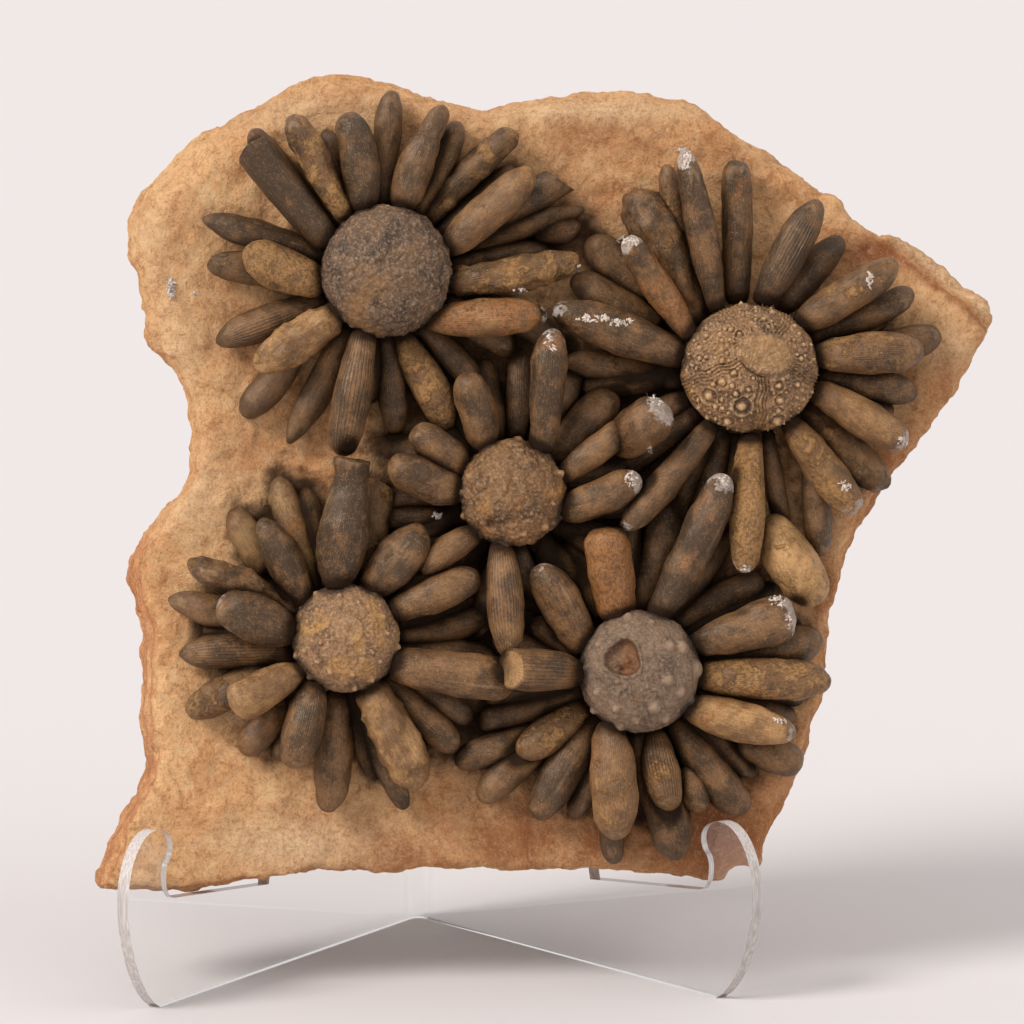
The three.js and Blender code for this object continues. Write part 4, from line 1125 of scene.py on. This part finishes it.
# The middle test is knobbly, with an uneven outline, coarse granules and a pit at its lower left.
test, places, dome = model_test("centre", 230, 150)
MIDDLE_KNOBS = [(2.4, 15.8, 2.2), (7.6, 14.2, 2), (13.8, 5.6, 2.4), (-13.2, 5.2, 1.9), (-14.4, -6.4, 1.8),
                (-10.2, -12.8, 2), (9.4, -9.8, 2), (-2, -15.4, 2.4), (-3, 1.6, 1.3), (2.6, 12.4, 1.2),
                (-8.6, 2.8, 1.1), (5.4, 3, 1.2), (11.6, -3.2, 1.4), (3, -12, 1.5), (-9, 9.8, 1.3),
                (14.6, -6.4, 1.6), (-15, 0.4, 1.4), (5, -6, 1.1), (-3.4, -7.4, 1.2), (9, 9.4, 1.3)]
MIDDLE_PIT = (-7.4, -9.4, 2.2)
relief = sum(0.62 * size * knob(from_spot(places, dome, x, y), size) for x, y, size in MIDDLE_KNOBS)
relief -= 1.6 * knob(from_spot(places, dome, *MIDDLE_PIT[:2]), MIDDLE_PIT[2])
mould(test, "knobs", relief)
wear(test, lumps, 2.2 * MM)
wear(test, granules, -0.55 * MM)
wear(test, sandpaper, 0.3 * MM)
finish_test(
    "centre", test, shell_material(
        "knobbly_shell", paint(72, 49, 31), paint(122, 88, 56), paint(176, 136, 94), paint(156, 106, 54), 0.42,
        90.0, paint(90, 62, 42), 0.36), relief * 0.6, np.zeros(len(places)))

# The lower left test has pointed knobs all round, a low disc at its top and golden crust in patches.
test, places, dome = model_test("lower_left", 230, 150)
POINTED_KNOBS = [(-2.8, 16.3, 1.6), (-8.6, 13.2, 1.5), (8.8, 13.2, 1.7), (14.8, 8.6, 1.7), (-16.4, 2.8, 1.5),
                 (15.2, -3, 1.7), (13.4, -11.4, 1.6), (-6.4, -15.2, 1.8), (-14.6, -5, 1.6), (-1.8, 12.8, 1.3),
                 (9.8, -6.8, 1.5), (5, -4.2, 1.2), (7.6, -4.2, 1.2), (-5, -9.8, 1.7), (-7.8, -1, 1.4),
                 (-6, 1, 1.1), (-11.4, 5, 1.2), (11, 6.4, 1.4), (1.6, -10.6, 1.3), (-12.4, -3.4, 1.3),
                 (12, 1.4, 1.3), (-8.6, 8.6, 1.3), (3.6, 10.6, 1.2), (2.2, -14.6, 1.6), (-10.8, -11.2, 1.6),
                 (-3.4, -4.6, 1), (7.4, -12.4, 1.4), (-13.6, 9.4, 1.4)]
DISC_MIDDLE, DISC_SIZE = (0.7, 2.6), 4.6
GOLDEN = [(-14, 2.2, 5), (9.4, 5, 6), (-2.6, -8.6, 7), (5.6, -9.4, 6), (-8, 7.4, 3.4), (8, 10, 4.6), (10, -1, 4)]
relief = sum(0.72 * size * knob(from_spot(places, dome, x, y), size) for x, y, size in POINTED_KNOBS)
disc = from_spot(places, dome, *DISC_MIDDLE)
relief += 0.45 * (1 - ease(DISC_SIZE - 0.8, DISC_SIZE, disc)) - 0.4 * knob(disc, 1.5)
relief -= 0.4 * knob(from_spot(places, dome, 0, -0.4), 0.9)
golden = np.clip(sum(knob(from_spot(places, dome, x, y), size) for x, y, size in GOLDEN), 0, 1)
mould(test, "knobs", relief)
wear(test, lumps, 1.2 * MM)
wear(test, granules, -0.5 * MM)
wear(test, sandpaper, 0.25 * MM)
finish_test(
    "lower_left", test, shell_material(
        "crusted_shell", paint(92, 66, 44), paint(142, 106, 74), paint(190, 154, 118), paint(186, 138, 74), 0.4,
        110.0, paint(186, 138, 80)), relief * 0.6, 0.6 * ease(0.1, 0.9, golden))

# The lower right test is broken open at its top, where the dark, rusty inside shows, and a piece of
# another shell is pressed against its right side.
test, places, dome = model_test("lower_right", 240, 160)
SOFT_KNOBS = [(-13.4, -5.9, 1.9), (-7.7, -10.8, 1.9), (3.5, -10.5, 2.5), (7.5, -2.5, 2.3), (11.5, -6.2, 2.4),
              (8.6, 7.7, 2.2), (12.3, 7, 2.8), (7, -14, 2), (-6.1, -16.4, 1.9), (-7.5, -2.7, 1.2),
              (-7.3, -6.5, 1), (-5, -4.4, 0.9), (-3.5, 16.6, 1.9), (-12.8, 8.2, 1.6), (-13.9, -11.3, 1.9),
              (15, -8.6, 1.8), (3.4, 14.6, 1.5), (-16.4, 1.4, 1.6), (1.4, -4.4, 1), (-1.6, -14.8, 1.5)]
PIT_MIDDLE, PIT_SIZE = (-5.9, 4.2), 5.6
relief = sum(0.62 * size * knob(from_spot(places, dome, x, y), 1.15 * size) for x, y, size in SOFT_KNOBS)
relief += 1.4 * knob(from_spot(places, dome, 17, 0.7), 4.2)
pit_ring = from_spot(places, dome, *PIT_MIDDLE) * (1 + 0.1 * np.sin(
    3 * np.arctan2(places[:, 1] - PIT_MIDDLE[1], places[:, 0] - PIT_MIDDLE[0]) + 1))
in_pit = 1 - ease(0.8 * PIT_SIZE, PIT_SIZE, pit_ring)
floor = 0.9 * knob(from_spot(places, dome, -5.6, 3.4), 3) - 0.8 * knob(from_spot(places, dome, -6.7, 0.6), 1.3)
relief = relief * (1 - in_pit) - in_pit * (2.6 - floor) + 0.3 * np.exp(-((pit_ring - PIT_SIZE - 0.3) / 0.5) ** 2)
mould(test, "knobs", relief)
wear(test, lumps, 0.9 * MM)
wear(test, granules, -0.3 * MM)
wear(test, sandpaper, 0.3 * MM)
rusty_wall = in_pit * ease(-8, -3, places[:, 0]) + 0.5 * in_pit
finish_test(
    "lower_right", test, shell_material(
        "broken_shell", paint(80, 63, 50), paint(121, 98, 79), paint(156, 131, 108), paint(124, 92, 64), 0.24,
        90.0, paint(126, 78, 40), 0.5), np.where(in_pit > 0.5, -0.2, relief * 0.6), np.clip(rusty_wall, 0, 1))

# ---- Chalk crumbs ----
# White flakes of the softer rock that once buried the urchins still cling to some tips and shafts.
# Each is a small flattened lump, laid on whatever surface is in front there.
CRUMB_PATCHES = [
    # across, up, half width, half height (millimetres) and count
    (55.6, 215.6, 1.4, 4.2, 26), (38.4, 191, 2.4, 1.8, 22), (26.6, 167.6, 5, 0.9, 26), (35.2, 166.2, 4.2, 1.4, 22),
    (45.4, 143.6, 2.4, 2.2, 16), (37.6, 119.8, 2.2, 2, 20), (43.8, 128.4, 1.2, 0.9, 6), (71.6, 92.4, 1.2, 1.2, 7),
    (102, 117, 1.6, 1.6, 14), (119.4, 130.4, 1.8, 1.2, 12), (110, 178, 1.1, 2.2, 14), (81, 83, 2.4, 1.8, 20),
    (84, 77.4, 0.9, 1.3, 7), (81.5, 47.5, 2.0, 0.8, 10), (65.6, 119.2, 1.8, 1.8, 14), (5.6, 176.2, 2, 0.7, 9),
    (23.6, 182.8, 0.7, 1.2, 6), (13.6, 160, 1.6, 4, 10), (-19.4, 109.4, 1.4, 0.9, 8), (-97.8, 178.4, 1.0, 3.2, 60),
    (-91, 176.6, 0.9, 0.5, 4),
]
random.seed(8)
crumbs = []
sight = bpy.context.evaluated_depsgraph_get()
towards = -(LEANED.to_3x3() @ on_slab(0, 0, 1)).normalized()
for across, up, half_wide, half_high, count in CRUMB_PATCHES:
    for crumb in range(round(1.5 * count)):
        angle, out = random.uniform(0, 2 * math.pi), math.sqrt(random.random())
        start = LEANED @ (on_slab(
            across + half_wide * out * math.cos(angle), up + half_high * out * math.sin(angle), 60) * MM)
        hit, place, outward = bpy.context.scene.ray_cast(sight, start, towards)[:3]
        if not hit:
            continue
        size = random.uniform(0.25, 0.8) * MM
        bpy.ops.mesh.primitive_ico_sphere_add(subdivisions=2, radius=size, location=place)
        lump = bpy.context.object
        lump.scale = (random.uniform(0.5, 1.7), random.uniform(0.3, 0.8), random.uniform(0.2, 0.5))
        lump.rotation_euler = outward.to_track_quat("Z", "Y").to_euler()
        lump.rotation_euler.rotate_axis("Z", random.uniform(0, math.pi))
        crumbs.append(lump)
bpy.ops.object.select_all(action="DESELECT")
for lump in crumbs:
    lump.select_set(True)
bpy.context.view_layer.objects.active = crumbs[0]
bpy.ops.object.join()
chalk_crumbs = bpy.context.object
chalk_crumbs.name = "chalk_crumbs"
bpy.ops.object.transform_apply(location=True, rotation=True, scale=True)
wear(chalk_crumbs, unevenness("crumbly", "CLOUDS", 0.5 * MM, noise_depth=2), 0.6 * MM)
keep_modifiers(chalk_crumbs)
chalk, tree, shader = finish_material("white_chalk")
at = node(tree, "TexCoord").outputs["Object"]
tree.links.new(blend_colours(tree, fade(tree, mottle(tree, at, 1500, 3, 0.6), 0.35, 0.6), paint(226, 216, 208),
                             paint(184, 166, 150)), shader.inputs["Base Color"])
shader.inputs["Roughness"].default_value = 0.95
coat(chalk_crumbs, chalk)
bpy.ops.object.shade_smooth()
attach(chalk_crumbs, "root")

# ---- Acrylic easel ----
# One sheet of clear acrylic, sawn to shape, with polished edges, and bent hot into a V. The slab
# stands on its two ledges and leans on the long edges behind.
EASED_EDGE = 0.25 * MM
FLAT_WITHIN = math.radians(1)
EDGE_ANGLE = math.radians(40)
EDGE_SQUARE = 0.5
BEND_REACH = 12 * MM

easel = upright_copy("acrylic_easel", "acrylic_easel_sheet")
easel.data.transform(LEANED)
bpy.ops.object.mode_set(mode="EDIT")
bpy.ops.mesh.select_all(action="SELECT")
bpy.ops.mesh.dissolve_limited(angle_limit=FLAT_WITHIN)
bpy.ops.object.mode_set(mode="OBJECT")
eased = easel.modifiers.new("eased edges", "BEVEL")
eased.width = EASED_EDGE
eased.segments = 2
eased.angle_limit = EDGE_ANGLE
keep_modifiers(easel)
bpy.ops.object.shade_smooth_by_angle(angle=EDGE_ANGLE)
even_shine = easel.modifiers.new("flat broad faces", "WEIGHTED_NORMAL")
even_shine.weight = 100
even_shine.keep_sharp = True
keep_modifiers(easel)
acrylic, tree, shader = finish_material("clear_acrylic")
shader.inputs["Base Color"].default_value = (0.985, 0.992, 0.99, 1)
shader.inputs["Transmission Weight"].default_value = 1
shader.inputs["IOR"].default_value = 1.49
shader.inputs["Roughness"].default_value = 0.015
# Painted light: the edges of the clear sheet away from the bend get a pale grey, partly matt colour with faint
# streaks, for the light they carry and reflect.
painted_light_edge, tree, shader = finish_material("acrylic_edge_painted_light")
edge_streaks = mottle(tree, node(tree, "Mapping", {
    "Vector": node(tree, "TexCoord").outputs["Object"], "Scale": (1500, 1500, 40)}).outputs[0], 1.0, 3, 0.6)
tree.links.new(blend_colours(tree, fade(tree, edge_streaks, 0.36, 0.62), paint(236, 228, 224), paint(204, 195, 191)),
               shader.inputs["Base Color"])
shader.inputs["Transmission Weight"].default_value = 0.3
shader.inputs["IOR"].default_value = 1.49
shader.inputs["Roughness"].default_value = 0.14
coat(easel, acrylic)
easel.data.materials.append(painted_light_edge)
easel_corners = corners_of(easel)
for wing in (easel_corners[:, 0].argmin(), easel_corners[:, 0].argmax()):
    along = Vector((*easel_corners[wing][:2], 0)).normalized()
    for face in easel.data.polygons:
        if face.center.x * along.x > 0 and face.center.length > BEND_REACH:
            face.material_index = int(abs(face.normal.dot(along.cross((0, 0, 1)))) < EDGE_SQUARE)
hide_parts("acrylic_easel")
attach(easel, "root")
